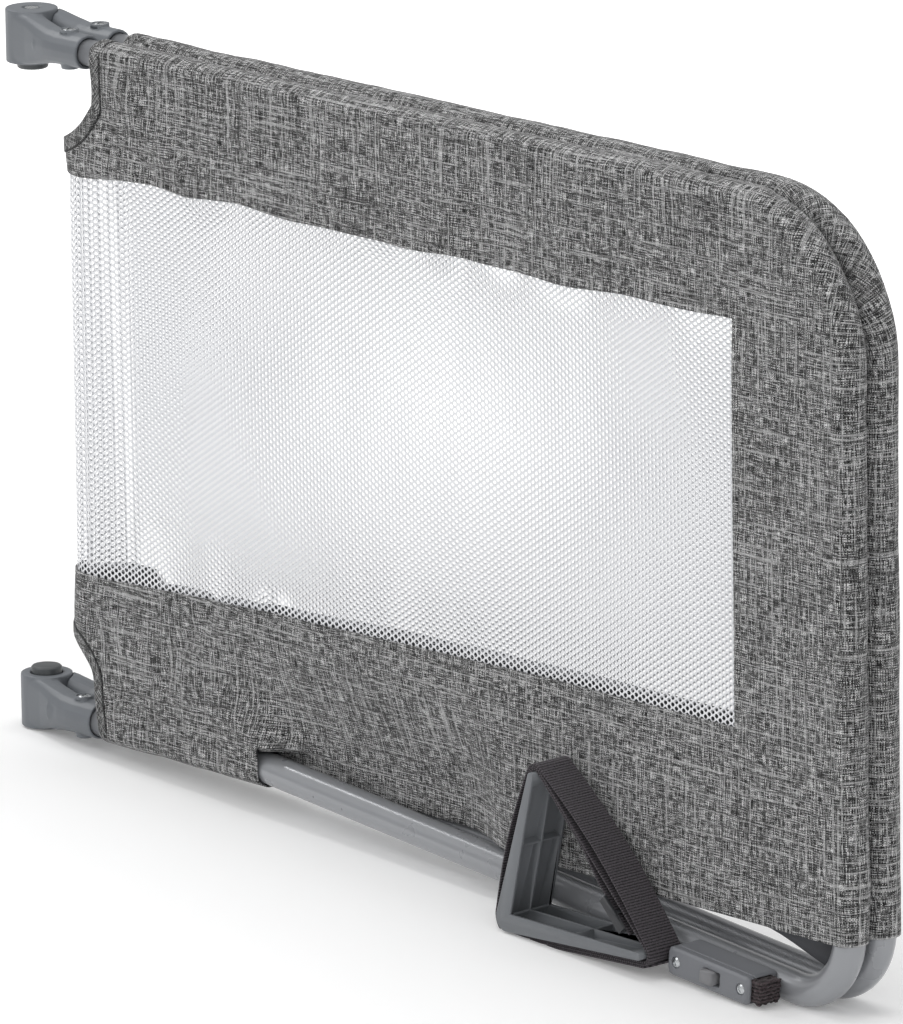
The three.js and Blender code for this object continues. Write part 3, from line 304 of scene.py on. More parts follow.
def linear(level: float) -> float:
    """An sRGB level from 0 to 255 as linear light."""
    share = level / 255
    return share / 12.92 if share <= 0.04045 else ((share + 0.055) / 1.055) ** 2.4


def colour(red: float, green: float, blue: float) -> tuple[float, float, float, float]:
    """An sRGB colour of levels from 0 to 255 as a linear colour."""
    return (linear(red), linear(green), linear(blue), 1.0)


def scaled(base: Sequence[float], factor: float) -> tuple[float, ...]:
    """A linear colour made darker or lighter by a factor."""
    return tuple(min(1, channel * factor) for channel in base[:3]) + (1,)


@dataclass(frozen=True)
class MouldedPlastic:
    """Grey moulded plastic with a fine grain and faint mottling."""

    name: str
    tint: tuple[float, float, float]
    roughness: float = 0.46
    grain: float = 0.03 * MM
    grain_count: float = 1600
    cloud_count: float = 60
    mottle: float = 0.05
    spread: float = 0.14

    def make(self) -> Material:
        """Builds the material.

        Returns:
            The material.
        """
        shader = Shader(self.name)
        base = colour(*self.tint)
        cloudy = shader.noise(shader.place, (self.cloud_count,) * 3, 3)
        grain = shader.noise(shader.place, (self.grain_count,) * 3, 2)
        shader.set(
            Base_Color=shader.mix(cloudy, scaled(base, 1 - self.mottle), scaled(base, 1 + self.mottle)),
            Roughness=shader.math("MULTIPLY_ADD", grain, self.spread, self.roughness - self.spread / 2),
        )
        shader.bump(grain, self.grain)
        return shader.material


@dataclass(frozen=True)
class PowderCoat:
    """Satin powder coat over steel tube, with a faint orange peel."""

    name: str = "tube_coat"
    tint: tuple[float, float, float] = (157, 159, 163)
    roughness: float = 0.28
    spread: float = 0.05
    mottle: float = 0.03
    cloud_count: float = 35
    peel: float = 0.015 * MM
    peel_count: float = 700

    def make(self) -> Material:
        """Builds the material.

        Returns:
            The material.
        """
        shader = Shader(self.name)
        base = colour(*self.tint)
        cloudy = shader.noise(shader.place, (self.cloud_count,) * 3, 4)
        peel = shader.noise(shader.place, (self.peel_count,) * 3, 1)
        shader.set(
            Base_Color=shader.mix(cloudy, scaled(base, 1 - self.mottle), scaled(base, 1 + self.mottle)),
            Roughness=shader.math("MULTIPLY_ADD", cloudy, self.spread, self.roughness - self.spread / 2),
            Metallic=0.25, Coat_Weight=0.5, Coat_Roughness=0.12,
        )
        shader.bump(peel, self.peel)
        return shader.material


@dataclass(frozen=True)
class ZincPlate:
    """Bright zinc-plated steel with fine turning marks and scratches."""

    name: str = "zinc_plate"
    tint: tuple[float, float, float] = (205, 208, 210)
    roughness: float = 0.18
    spread: float = 0.2
    marks: tuple[float, float, float] = (900, 900, 160)
    mark_depth: float = 0.02 * MM

    def make(self) -> Material:
        """Builds the material.

        Returns:
            The material.
        """
        shader = Shader(self.name)
        scratch = shader.noise(shader.place, self.marks, 4)
        shader.set(
            Base_Color=colour(*self.tint), Metallic=1.0,
            Roughness=shader.math("MULTIPLY_ADD", scratch, self.spread, self.roughness),
        )
        shader.bump(scratch, self.mark_depth)
        return shader.material


@dataclass(frozen=True)
class MelangeCloth:
    """Plain-woven polyester with uneven dark and light threads both ways.

    Args:
        name: The material's name.
        thread: Width of a thread.
        fleck_length: Length of a dark or light fleck along its thread.
        slub_width: Width of a thick thread.
        slub_length: Its length.
        turn: How far the weave is turned on the piece.
        levels: Grey levels from the darkest to the lightest threads.
        slub_level: Grey level of the light thick threads.
        slub_strength: How much the thick threads show.
        seam_from: Where a dark seam line starts across the piece, or 0 for none.
        depth: Depth of the weave.
    """

    name: str = "melange_cloth"
    thread: float = 0.72 * MM
    fleck_length: float = 7 * MM
    slub_width: float = 1.5 * MM
    slub_length: float = 70 * MM
    turn: float = 0.0
    levels: tuple[float, ...] = (12, 61, 112, 230)
    slub_level: float = 205
    slub_strength: float = 0.5
    seam_from: float = 0.0
    depth: float = 0.3 * MM

    def slubs(self, shader: Shader, spot: Socket, layer: float) -> Socket:
        """Long thin threads both ways, as a mask.

        Args:
            shader: The material.
            spot: The place on the cloth.
            layer: Shifts the threads.

        Returns:
            The mask.
        """
        long, wide = 1 / self.slub_length, 1 / self.slub_width
        moved = shader.node("Mapping", {"Vector": spot, "Location": (layer, layer * 0.7, 0)}).outputs[0]
        both = [
            shader.ramp(shader.noise(moved, stretch, 1), [(0.6, 0), (0.66, 1)])
            for stretch in ((long, wide, 1), (wide, long, 1))
        ]
        return shader.math("MAXIMUM", *both)

    def make(self) -> Material:
        """Builds the material.

        Returns:
            The material.
        """
        shader = Shader(self.name)
        spot = shader.node("Mapping", {"Vector": shader.uv, "Rotation": (0, 0, self.turn)}).outputs[0]
        across, along = 1 / self.thread, 1 / self.fleck_length
        weft = shader.noise(spot, (along, across, 1), 3)
        warp = shader.noise(spot, (across, along, 1), 3)
        weave = shader.node("TexChecker", {
            "Vector": spot, "Scale": across, "Color1": (0, 0, 0, 1), "Color2": (1, 1, 1, 1),
        })
        threads = shader.mix(weave.outputs[0], warp, weft)
        body = shader.ramp(threads, zip((0.37, 0.46, 0.53, 0.63), map(linear, self.levels)))
        bright = shader.math("MULTIPLY", self.slubs(shader, spot, 0.0), self.slub_strength)
        dark = shader.math("MULTIPLY", self.slubs(shader, spot, 3.7), self.slub_strength)
        lit = shader.mix(bright, body, colour(*(self.slub_level,) * 3))
        shade = shader.mix(dark, lit, colour(*(self.levels[0] + 8,) * 3))
        if self.seam_from:
            over = shader.node("SeparateXYZ", {"Vector": shader.uv}).outputs["Y"]
            seam = shader.math("GREATER_THAN", over, self.seam_from)
            shade = shader.mix(shader.math("MULTIPLY", seam, 0.75), shade, colour(30, 30, 31))
        shader.set(Base_Color=shade, Roughness=0.92, Sheen_Weight=0.1, Sheen_Roughness=0.5)
        shader.set(Specular_IOR_Level=0.25)
        shader.bump(threads, self.depth, 0.8)
        return shader.material


@dataclass(frozen=True)
class CoatedLining:
    """The cloth's coated reverse side, a plain grey."""

    name: str = "coated_lining"
    tint: tuple[float, float, float] = (86, 87, 91)
    thread: float = 0.95 * MM

    def make(self) -> Material:
        """Builds the material.

        Returns:
            The material.
        """
        shader = Shader(self.name)
        base = colour(*self.tint)
        cloudy = shader.noise(shader.place, (50, 50, 50), 3)
        fine = shader.noise(shader.uv, (1 / self.thread, 1 / self.thread, 1), 2)
        shader.set(Base_Color=shader.mix(cloudy, scaled(base, 0.85), scaled(base, 1.12)))
        shader.set(Roughness=0.7, Specular_IOR_Level=0.3)
        shader.bump(fine, 0.1 * MM)
        return shader.material


@dataclass(frozen=True)
class NetYarn:
    """White knitted yarn of the window nets."""

    name: str = "net_yarn"
    tint: tuple[float, float, float] = (249, 250, 253)

    def make(self) -> Material:
        """Builds the material.

        Returns:
            The material.
        """
        shader = Shader(self.name)
        fibre = shader.noise(shader.uv, (2600, 900, 1), 3)
        base = colour(*self.tint)
        shader.set(Base_Color=shader.mix(fibre, scaled(base, 0.93), base), Roughness=0.8, Sheen_Weight=0.15)
        shader.set(Specular_IOR_Level=0.3)
        shader.bump(fibre, 0.12 * MM)
        return shader.material


@dataclass(frozen=True)
class RibbedWebbing:
    """Dark polyester webbing with fine cross ribs, with painted shade in their grooves and a painted highlight on
    their crests.
    """

    name: str = "strap_webbing"
    tint: tuple[float, float, float] = (62, 58, 62)
    rib: float = 1.75 * MM
    folded: bool = False
    # darkest is the painted shade of the rib grooves and lightest the painted highlight of the rib crests, as
    # shares of the tint.
    depth: float = 0.4 * MM
    darkest: float = 0.18
    lightest: float = 2.5

    def make(self) -> Material:
        """Builds the material.

        Returns:
            The material.
        """
        shader = Shader(self.name)
        spot = shader.place if self.folded else shader.uv
        ribs = {"Vector": spot, "Scale": 1 / (self.rib * math.tau / 2), "Distortion": 0.3, "Detail": 1.0}
        direction = "Z" if self.folded else "X"
        bands = shader.node("TexWave", ribs, wave_type="BANDS", bands_direction=direction)
        wave = shader.ramp(bands.outputs[0], [(0.2, 0), (0.8, 1)])
        fibre = shader.ramp(shader.noise(spot, (900, 900, 900), 2), [(0.36, 0), (0.64, 1)])
        base = colour(*self.tint)
        # Painted shade and highlight: the colour follows the rib wave, darker in the grooves and lighter on the
        # crests, mixed with the fibre's own tone.
        light = shader.math("MULTIPLY_ADD", wave, 0.55, shader.math("MULTIPLY", fibre, 0.45))
        body = shader.mix(light, scaled(base, self.darkest), scaled(base, self.lightest))
        shader.set(Base_Color=body, Roughness=0.85, Sheen_Weight=0.15)
        shader.set(Specular_IOR_Level=0.25)
        shader.bump(wave, self.depth)
        return shader.material


class Finishes:
    """The object's materials."""

    def __init__(self) -> None:
        """Makes every material once."""
        self.tube = PowderCoat().make()
        self.hinge = MouldedPlastic("hinge_plastic", (112, 116, 121)).make()
        self.button = MouldedPlastic("button_plastic", (76, 79, 81), roughness=0.4).make()
        self.zinc = ZincPlate().make()
        self.cloth = MelangeCloth().make()
        self.lining = CoatedLining().make()
        self.binding = MelangeCloth(
            "bias_binding", turn=math.radians(45), levels=(20, 64, 106, 196), slub_level=165,
            seam_from=8.4 * MM,
        ).make()
        self.net = NetYarn().make()
        self.anchor = MouldedPlastic("anchor_plastic", (121, 124, 128)).make()
        self.strap = RibbedWebbing().make()
        self.strap_end = RibbedWebbing("folded_webbing", (56, 48, 50), 2.2 * MM, True).make()
        self.buckle = MouldedPlastic("buckle_plastic", (56, 57, 60), roughness=0.4).make()
        self.clamp = MouldedPlastic("clamp_plastic", (124, 126, 131), roughness=0.4).make()
        self.switch = MouldedPlastic("switch_plastic", (133, 133, 136), roughness=0.42).make()


# Meshes


def new_mesh(name: str, bm: BMesh) -> bpy.types.Mesh:
    """A mesh of a bmesh.

    Args:
        name: Its name.
        bm: The bmesh, freed here.

    Returns:
        The mesh.
    """
    mesh = bpy.data.meshes.new(name)
    bm.to_mesh(mesh)
    bm.free()
    return mesh


def new_object(name: str, data: bpy.types.ID) -> Object:
    """An object in the scene.

    Args:
        name: Its name.
        data: Its mesh, lamp or camera.

    Returns:
        The object.
    """
    made = bpy.data.objects.new(name, data)
    bpy.context.scene.collection.objects.link(made)
    return made


def of_kind(items: Iterable, kind: type) -> list:
    """The items of one kind, such as the points among what an operator made."""
    return [item for item in items if isinstance(item, kind)]


def show(
    name: str, bm: BMesh, material: Material, body: str, slot: str,
    stands_for: Iterable[str] = (), smooth: bool = True, modifiers: Iterable[tuple[str, dict]] = (),
    lining: Material | None = None,
) -> Object:
    """Makes a finished piece of a mesh.

    Args:
        name: The piece's name.
        bm: Its mesh in the frame, freed here.
        material: Its finish.
        body: The CAD body that it rides on.
        slot: The record's material slot; not used.
        stands_for: CAD nodes that it replaces.
        smooth: Whether its faces are shaded smooth.
        modifiers: Modifier types with their settings, applied in order.
        lining: The finish of a cloth's reverse side.

    Returns:
        The piece's object.
    """
    mesh = new_mesh(name, bm)
    for finish in (material, lining):
        if finish:
            mesh.materials.append(finish)
    piece = new_object(name, mesh)
    if modifiers:
        settle(piece, modifiers)
    if smooth:
        piece.data.polygons.foreach_set("use_smooth", [True] * len(piece.data.polygons))
    if body:
        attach(piece, body)
    if stands_for:
        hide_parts(*stands_for)
    LOG.info("%s: %d faces on %s", name, len(piece.data.polygons), body)
    return piece


def settle(piece: Object, modifiers: Iterable[tuple[str, dict]]) -> None:
    """Adds modifiers to a piece and keeps their result as its mesh.

    Args:
        piece: The piece.
        modifiers: Modifier types with their settings, in order.
    """
    for kind, settings in modifiers:
        modifier = piece.modifiers.new(kind.lower(), kind)
        for key, value in settings.items():
            setattr(modifier, key, value)
    graph = bpy.context.evaluated_depsgraph_get()
    settled = bpy.data.meshes.new_from_object(piece.evaluated_get(graph))
    piece.modifiers.clear()
    old = piece.data
    piece.data = settled
    bpy.data.meshes.remove(old)
    piece.data.name = piece.name


def sheet_patch(columns: int, rows: int, place: Callable[[float, float], Vector],
                flat: Callable[[float, float], tuple[float, float]]) -> BMesh:
    """A grid laid on a surface.

    Args:
        columns: Cells along the first share.
        rows: Cells along the second share.
        place: Gives the place at two shares from 0 to 1.
        flat: Gives the UV at the same shares.

    Returns:
        The patch as a bmesh with a UV map.
    """
    bm = bmesh.new()
    bmesh.ops.create_grid(bm, x_segments=columns, y_segments=rows, size=0.5)
    layer = bm.loops.layers.uv.new("UVMap")
    for vert in bm.verts:
        share = (vert.co.x + 0.5, vert.co.y + 0.5)
        spot = flat(*share)
        for loop in vert.link_loops:
            loop[layer].uv = spot
        vert.co = place(*share)
    return bm


def face_front(bm: BMesh) -> BMesh:
    """Turns a patch's faces over if its foremost one looks back, and returns the patch.

    Args:
        bm: The patch.

    Returns:
        The same patch.
    """
    bm.normal_update()
    if min(bm.faces, key=lambda face: face.calc_center_median().y).normal.y > 0:
        bmesh.ops.reverse_faces(bm, faces=bm.faces)
    return bm


def join(patches: Sequence[BMesh], reach: float = 0.02 * MM) -> BMesh:
    """Joins patches with UV maps into one mesh and merges the points on their shared edges.

    Args:
        patches: The patches, freed here.
        reach: How near the points to merge lie.

    Returns:
        The joined mesh.
    """
    whole = bmesh.new()
    for patch in patches:
        mesh = new_mesh("patch", patch)
        whole.from_mesh(mesh)
        bpy.data.meshes.remove(mesh)
    bmesh.ops.remove_doubles(whole, verts=whole.verts, dist=reach)
    return whole


class TubeBender:
    """Bends a round ring of points along straights and arcs into a tube's skin."""

    def __init__(self, radius: float, start: Vector, heading: Vector, sides: int = 40) -> None:
        """Puts the first ring square to the heading at the start.

        Args:
            radius: The tube's radius.
            start: Its start.
            heading: The way it starts.
            sides: Points round it.
        """
        self.bm = bmesh.new()
        turn = heading.to_track_quat("Z", "Y").to_matrix().to_4x4()
        bmesh.ops.create_circle(
            self.bm, segments=sides, radius=radius, matrix=Matrix.Translation(start) @ turn,
        )
        self.ring = list(self.bm.edges)
        self.place = start.copy()
        self.heading = heading.normalized()

    def straight(self, length: float) -> None:
        """Runs the tube straight on.

        Args:
            length: How far.
        """
        made = bmesh.ops.extrude_edge_only(self.bm, edges=self.ring)["geom"]
        self.ring = of_kind(made, bmesh.types.BMEdge)
        bmesh.ops.translate(self.bm, vec=self.heading * length, verts=of_kind(made, bmesh.types.BMVert))
        self.place += self.heading * length

    def bend(self, radius: float, angle: float, steps: int) -> None:
        """Bends the tube in the XZ plane, downwards for a positive angle.

        Args:
            radius: Radius of the tube's centre line.
            angle: How far it turns.
            steps: Rings on the way.
        """
        axis = Vector((0, 1, 0))
        side = self.heading.cross(axis) * -math.copysign(1, angle)
        centre = self.place + side * radius
        made = bmesh.ops.spin(
            self.bm, geom=self.ring, cent=centre, axis=axis, angle=angle, steps=steps,
            use_merge=False, use_normal_flip=False, use_duplicate=False,
        )["geom_last"]
        self.ring = of_kind(made, bmesh.types.BMEdge)
        turn = Matrix.Rotation(angle, 3, axis)
        self.place = centre + turn @ (self.place - centre)
        self.heading = turn @ self.heading

    def close(self, wall: float) -> BMesh:
        """Gives the skin its wall and returns it.

        Args:
            wall: The wall's thickness.

        Returns:
            The tube's mesh.
        """
        bmesh.ops.recalc_face_normals(self.bm, faces=self.bm.faces)
        bmesh.ops.solidify(self.bm, geom=self.bm.faces, thickness=wall)
        bmesh.ops.recalc_face_normals(self.bm, faces=self.bm.faces)
        return self.bm


@dataclass
class TubeFrame:
    """One half's two bent tubes, the upper slipped into the lower in the outer upright."""

    layout: Layout
    side: Side
    wall: float = 1.2 * MM
    start_x: float = 42 * MM
    top_corner: float = 85 * MM
    low_corner: float = 40 * MM
    drop_angle: float = math.radians(5.06)
    drop_bend: float = 60 * MM
    rivet_z: float = 220 * MM
    splice: float = 30 * MM

    def upper(self) -> BMesh:
        """The upper tube, from the hinge over the corner down to the splice.

        Returns:
            The tube's mesh.
        """
        place = self.layout
        start = Vector((self.start_x, -place.half_spacing, place.top_z))
        tube = TubeBender(place.top_radius, start, Vector((1, 0, 0)))
        tube.straight(place.corner_x - self.top_corner - self.start_x)
        tube.bend(self.top_corner, math.pi / 2, 24)
        tube.straight(tube.place.z - (self.rivet_z - self.splice))
        return tube.close(self.wall)

    def lower(self) -> BMesh:
        """The lower tube, from the hinge down its slant, round the corner and up to the splice.

        Returns:
            The tube's mesh.
        """
        place = self.layout
        low_z = place.low_radius + self.low_corner
        low_z -= self.low_corner * (1 + math.sin(self.drop_angle)) / math.cos(self.drop_angle)
        drop_start = place.corner_x - (place.low_z - low_z) / math.tan(self.drop_angle)
        bend_reach = self.drop_bend * math.tan(self.drop_angle / 2)
        corner_turn = math.pi / 2 + self.drop_angle
        corner_reach = self.low_corner * math.tan(corner_turn / 2)
        slant = (place.low_z - low_z) / math.sin(self.drop_angle)
        start = Vector((self.start_x, -place.half_spacing, place.low_z))
        tube = TubeBender(place.low_radius, start, Vector((1, 0, 0)))
        tube.straight(drop_start - bend_reach - self.start_x)
        tube.bend(self.drop_bend, self.drop_angle, 4)
        tube.straight(slant - bend_reach - corner_reach)
        tube.bend(self.low_corner, -corner_turn, 28)
        tube.straight(self.rivet_z + self.splice - tube.place.z)
        return tube.close(self.wall)

    def build(self, finishes: Finishes) -> None:
        """Makes both tubes.

        Args:
            finishes: The materials.
        """
        for name, bm in (("upper", self.upper()), ("lower", self.lower())):
            self.layout.seat(bm, self.side)
            node = f"{self.side.value}_{name}_tube"
            show(f"{node}_skin", bm, finishes.tube, self.side.body, "tube", [node])


# Cover


@dataclass
class ClothPlane:
    """The cloth's middle surface: flat in front of the tubes, and turned round the fold at its left.

    Args:
        layout: The rail's shared places.
        reach: Tube centre line to the middle of the cloth.
        fold_x: Where the cloth starts to turn.
        fold_gap: What is left between the two halves at the fold.
        seed: Shifts the creases, so that the halves differ.
    """

    layout: Layout
    seed: float
    reach: float = 10.6 * MM
    fold_x: float = 68 * MM
    fold_gap: float = 0.5 * MM
    fold_slack: float = 3.4 * MM
    tip_slack: float = 2.8 * MM
    window_top: float = 395 * MM
    window_low: float = 144 * MM
    folds: tuple = (
        (((91, 474), (120, 437), (154, 410), (168, 397)), 2.2, 8),
        (((74, 452), (92, 425), (110, 404)), -1.4, 7),
        (((181, 141), (158, 118), (146, 106), (134, 88)), -2.4, 6),
        (((196, 140), (176, 112), (160, 84)), 1.6, 9),
        (((82, 128), (100, 112), (124, 98)), 2.2, 9),
        (((72, 84), (96, 78), (130, 58)), -1.2, 8),
        (((40, 398), (80, 396), (118, 399)), 1.2, 6),
    )

    @property
    def radius(self) -> float:
        """Mid-plane to the middle of the cloth."""
        return self.layout.half_spacing + self.reach

    @property
    def apex(self) -> float:
        """The unrolled place of the fold's end, measured like x."""
        return self.fold_x - self.radius * math.acos(self.fold_gap / 2 / self.radius)

    def unroll(self, x: float) -> float:
        """The unrolled place of a point on the turned part, from its x.

        Args:
            x: Its x.

        Returns:
            The place, measured like x.
        """
        if x >= self.fold_x:
            return x
        share = min(1.0, (self.fold_x - x) / self.radius)
        return max(self.apex, self.fold_x - self.radius * math.asin(share))

    def slack(self, z: float) -> float:
        """How far the fold's end stands further left at a height, past the window's ends.

        Args:
            z: The height.

        Returns:
            The distance.
        """
        above = smooth_step(self.window_top - 6 * MM, self.window_top + 16 * MM, z)
        below = smooth_step(self.window_low + 10 * MM, self.window_low - 34 * MM, z)
        return self.fold_slack + self.tip_slack * max(above, 1.3 * below)

    def at(self, u: float, z: float, out: float = 0.0) -> Vector:
        """The place of an unrolled point, out from the cloth's middle.

        Args:
            u: The unrolled place.
            z: The height.
            out: The distance out.

        Returns:
            The place.
        """
        radius = self.radius + out
        left = self.slack(z) * smooth_step(self.fold_x + 7 * MM, self.apex, u)
        if u >= self.fold_x:
            return Vector((u - left, -radius, z))
        angle = (self.fold_x - u) / self.radius
        return Vector((self.fold_x - radius * math.sin(angle) - left, -radius * math.cos(angle), z))

    def fold_at(self, u: float, z: float) -> float:
        """The height of the drawn folds at an unrolled place.

        Args:
            u: The unrolled place.
            z: The height.

        Returns:
            How far they stand out.
        """
        spot = Vector((u, z)) / MM
        height = 0.0
        for points, rise, width in self.folds:
            corners = [Vector(point) for point in points]
            near = []
            for start, end in zip(corners, corners[1:]):
                run = end - start
                share = min(1.0, max(0.0, (spot - start).dot(run) / run.length_squared))
                near.append((spot - start.lerp(end, share)).length)
            height += rise * math.exp(-(min(near) / width) ** 2)
        return height * MM

    def uneven(self, across: float, up: float, shift: float, height: float) -> float:
        """Noise of a height in millimetres at a place stretched by its count per metre."""
        return noise.noise(Vector((across, up, self.seed + shift))) * height * MM

    def ease(self, u: float, z: float) -> float:
        """How far the slack cloth stands out at an unrolled place.

        Args:
            u: The unrolled place.
            z: The height.

        Returns:
            The distance.
        """
        broad = self.uneven(u * 9, z * 7, 0, 1.8)
        fine = self.uneven(u * 34, z * 12, 5, 0.7)
        pucker = self.uneven(u * 34, z * 9, 9, 1.9)
        near_top = smooth_step(90 * MM, 8 * MM, self.layout.top_z - z)
        waves = self.uneven(u * 19, 3.1, 2, 3.4)
        waves *= smooth_step(self.window_top + 48 * MM, self.window_top + 6 * MM, z)
        waves *= smooth_step(self.window_top - 26 * MM, self.window_top - 2 * MM, z)
        in_window = smooth_step(self.window_top, self.window_top - 30 * MM, z)
        in_window *= smooth_step(self.window_low, self.window_low + 40 * MM, z)
        waves *= smooth_step(self.layout.corner_x - 80 * MM, self.layout.corner_x - 170 * MM, u)
        fade = smooth_step(self.apex, self.apex + 45 * MM, u)
        fade *= smooth_step(self.layout.top_z + 2 * MM, self.layout.top_z - 12 * MM, z)
        fade *= smooth_step(self.layout.low_z - 12 * MM, self.layout.low_z + 12 * MM, z) * 0.8 + 0.2
        fade *= smooth_step(self.layout.corner_x + 12 * MM, self.layout.corner_x - 30 * MM, u)
        slack = (broad + fine) * (1 - 0.75 * in_window)
        return (slack + waves + pucker * near_top + self.fold_at(u, z)) * fade


@dataclass
class Cover:
    """One half's cloth: a band round the window, sleeves over the tubes, bound edges at the hinges.

    Args:
        knee_shares: The rise of the window's lower edge, as (share along it, share of the rise).
        rear_drops: How much lower that edge hangs on the rear half, as (x, drop) in millimetres.
        groove: Window's edge to the seam beside it.
        pull_depth: How far the cloth under the window is drawn in behind the front tube.
        slit_top: Where the low sleeve's end and the drawn-in cloth part.
        top_tail: How far below the tube's centre line the upper sleeve is sewn to the front.
        side_tail: The same for the side sleeve, measured inwards.
        arc_share: Share of a sleeve's section that goes round the tube; the rest is its flap.
        flap_gap: What is left between the cloth and a flap behind it.
        lip: Tube's centre line to where the flat cloth ends and the sleeve begins.
        upper_edge: Curve of the upper cut-out in millimetres, from the sleeve's end to the fold.
        lower_edge: Curve of the lower cut-out, in the same way.
        lower_foot: Where the lower cut-out ends on the sleeve.
    """

    layout: Layout
    side: Side
    plane: ClothPlane
    thickness: float = 0.9 * MM
    window_right: float = 639 * MM
    window_rise: float = 13 * MM
    knee_shares: tuple = ((0, 0), (0.26, 0.5), (0.7, 0.94), (1, 1))
    rear_drops: tuple = ((20, 3), (76, 3.5), (84, 12), (96, 10), (128, 10), (136, 13), (146, 10),
                         (237, 10), (300, 8), (639, 8))
    groove: float = 4 * MM
    groove_width: float = 0.9 * MM
    groove_depth: float = 0.7 * MM
    hem_z: float = 45 * MM
    pull_depth: float = 21 * MM
    slit_top: float = 66 * MM
    slit_width: float = 7 * MM
    top_tail: float = 45 * MM
    side_tail: float = 73 * MM
    arc_share: float = 0.45
    arc_cells: int = 16
    flap_cells: int = 10
    flap_seat: float = 1.2 * MM
    flap_gap: float = 1.4 * MM
    flap_low_z: float = 20 * MM
    flap_seam_z: float = 45 * MM
    top_sleeve_x: float = 80.6 * MM
    low_sleeve_end: float = 222 * MM
    corner: float = 85 * MM
    lip: float = 1.6 * MM
    top_sleeve: float = 9.1 * MM
    side_sleeve: float = 10.6 * MM
    binding_width: float = 9.6 * MM
    low_binding_width: float = 7.9 * MM
    binding_thickness: float = 2.3 * MM
    binding_edge: float = 0.7 * MM
    upper_edge: tuple = ((80.6, 434), (67, 411.5), (42.9, 407))
    lower_edge: tuple = ((73, 73), (70.5, 99), (42.9, 105))
    lower_foot: tuple = (78, 36)

    def window_above(self, x: float) -> float:
        """Height of the window's upper edge, which sinks towards the fold and waves a little.

        Args:
            x: The place along the rail.

        Returns:
            The height.
        """
        sag = 2 * MM * smooth_step(self.window_right, self.window_right - 60 * MM, x)
        sag += 5 * MM * smooth_step(112 * MM, 62 * MM, x)
        wave = self.plane.uneven(x * 21, 7.7, 0, 2.4)
        return self.plane.window_top - sag + wave * smooth_step(self.window_right, self.window_right - 60 * MM, x)

    def window_bottom(self, x: float) -> float:
        """Height of the window's lower edge.

        Args:
            x: The place along the rail.

        Returns:
            The height.
        """
        left = self.plane.fold_x + self.plane.radius
        share = min(1.0, max(0.0, (x - left) / (self.window_right - left)))
        for (start, low), (end, high) in zip(self.knee_shares, self.knee_shares[1:]):
            if share <= end:
                rise = lerp(low, high, (share - start) / (end - start))
                break
        drop = 0.0
        if self.side is Side.REAR:
            drops = [(0, self.rear_drops[0][1]), *self.rear_drops, (1000, self.rear_drops[-1][1])]
            for (start, low), (end, high) in zip(drops, drops[1:]):
                if start * MM <= x < end * MM:
                    drop = lerp(low, high, smooth_step(start * MM, end * MM, x)) * MM
        return self.plane.window_low + self.window_rise * rise - drop

    def pull(self, u: float, z: float, sleeve: bool) -> float:
        """How far the cloth is drawn in behind the front tube at an unrolled place.

        Args:
            u: The unrolled place.
            z: The height.
            sleeve: Whether the place is on the low sleeve's own cloth, left of its slit.

        Returns:
            The distance towards the mid-plane.
        """
        end = self.low_sleeve_end
        if z >= self.slit_top:
            start = lerp(end, end - 90 * MM, min(1.0, (z - self.slit_top) / (54 * MM)))
            full = end + 34 * MM
        elif sleeve:
            return 0.0
        else:
            share = max(0.0, 1 - (self.slit_top - z) / self.slit_width)
            start = lerp(end - 12 * MM, end, share)
            full = start + lerp(12, 34, share) * MM
        height = smooth_step(self.plane.window_low, 55 * MM, z)
        back = smooth_step(455 * MM, 385 * MM, u)
        return self.pull_depth * height * back * smooth_step(start, full, u)

    @staticmethod
    def edge(start: float, end: float, height: float | Callable[[float], float]) -> Callable:
        """An edge of the cloth between two places along the rail.

        Args:
            start: x at its start.
            end: x at its end.
            height: Its height, or a function that gives the height at an x.

        Returns:
            A function that gives (x, z) at a share.
        """
        def spot(s: float) -> tuple[float, float]:
            """The place at a share."""
            x = lerp(start, end, s)
            return x, height(x) if callable(height) else height

        return spot

    @staticmethod
    def curve(points: tuple, share: float) -> tuple[float, float]:
        """A quadratic curve through points in millimetres, at a share from its first.

        Args:
            points: Its start, its control point and its end.
            share: The share.

        Returns:
            x and z.
        """
        weights = ((1 - share) ** 2, 2 * share * (1 - share), share ** 2)
        x, z = (sum(w * p[i] for w, p in zip(weights, points)) for i in (0, 1))
        return x * MM, z * MM

    def left_of(self, points: tuple, z: float) -> float:
        """The unrolled left end of the cloth at a height beside a curved cut-out.

        Args:
            points: The cut-out's curve.
            z: The height.

        Returns:
            The unrolled place.
        """
        low, high = 0.0, 1.0
        rising = points[2][1] > points[0][1]
        for _ in range(24):
            middle = (low + high) / 2
            if (self.curve(points, middle)[1] < z) == rising:
                low = middle
            else:
                high = middle
        return self.plane.unroll(self.curve(points, low)[0])

    def upper_left(self, z: float) -> float:
        """The unrolled left end of the upper band.

        Args:
            z: The height.

        Returns:
            The unrolled place.
        """
        if z >= self.upper_edge[0][1] * MM:
            return self.top_sleeve_x
        if z <= self.upper_edge[2][1] * MM:
            return self.plane.apex
        return self.left_of(self.upper_edge, z)

    def lower_left(self, z: float) -> float:
        """The unrolled left end of the lower band.

        Args:
            z: The height.

        Returns:
            The unrolled place.
        """
        if z >= self.lower_edge[2][1] * MM:
            return self.plane.apex
        if z >= self.lower_edge[0][1] * MM:
            return self.left_of(self.lower_edge, z)
        top = self.lower_edge[0]
        share = (top[1] * MM - z) / ((top[1] - self.lower_foot[1]) * MM)
        return lerp(top[0], self.lower_foot[0], share) * MM

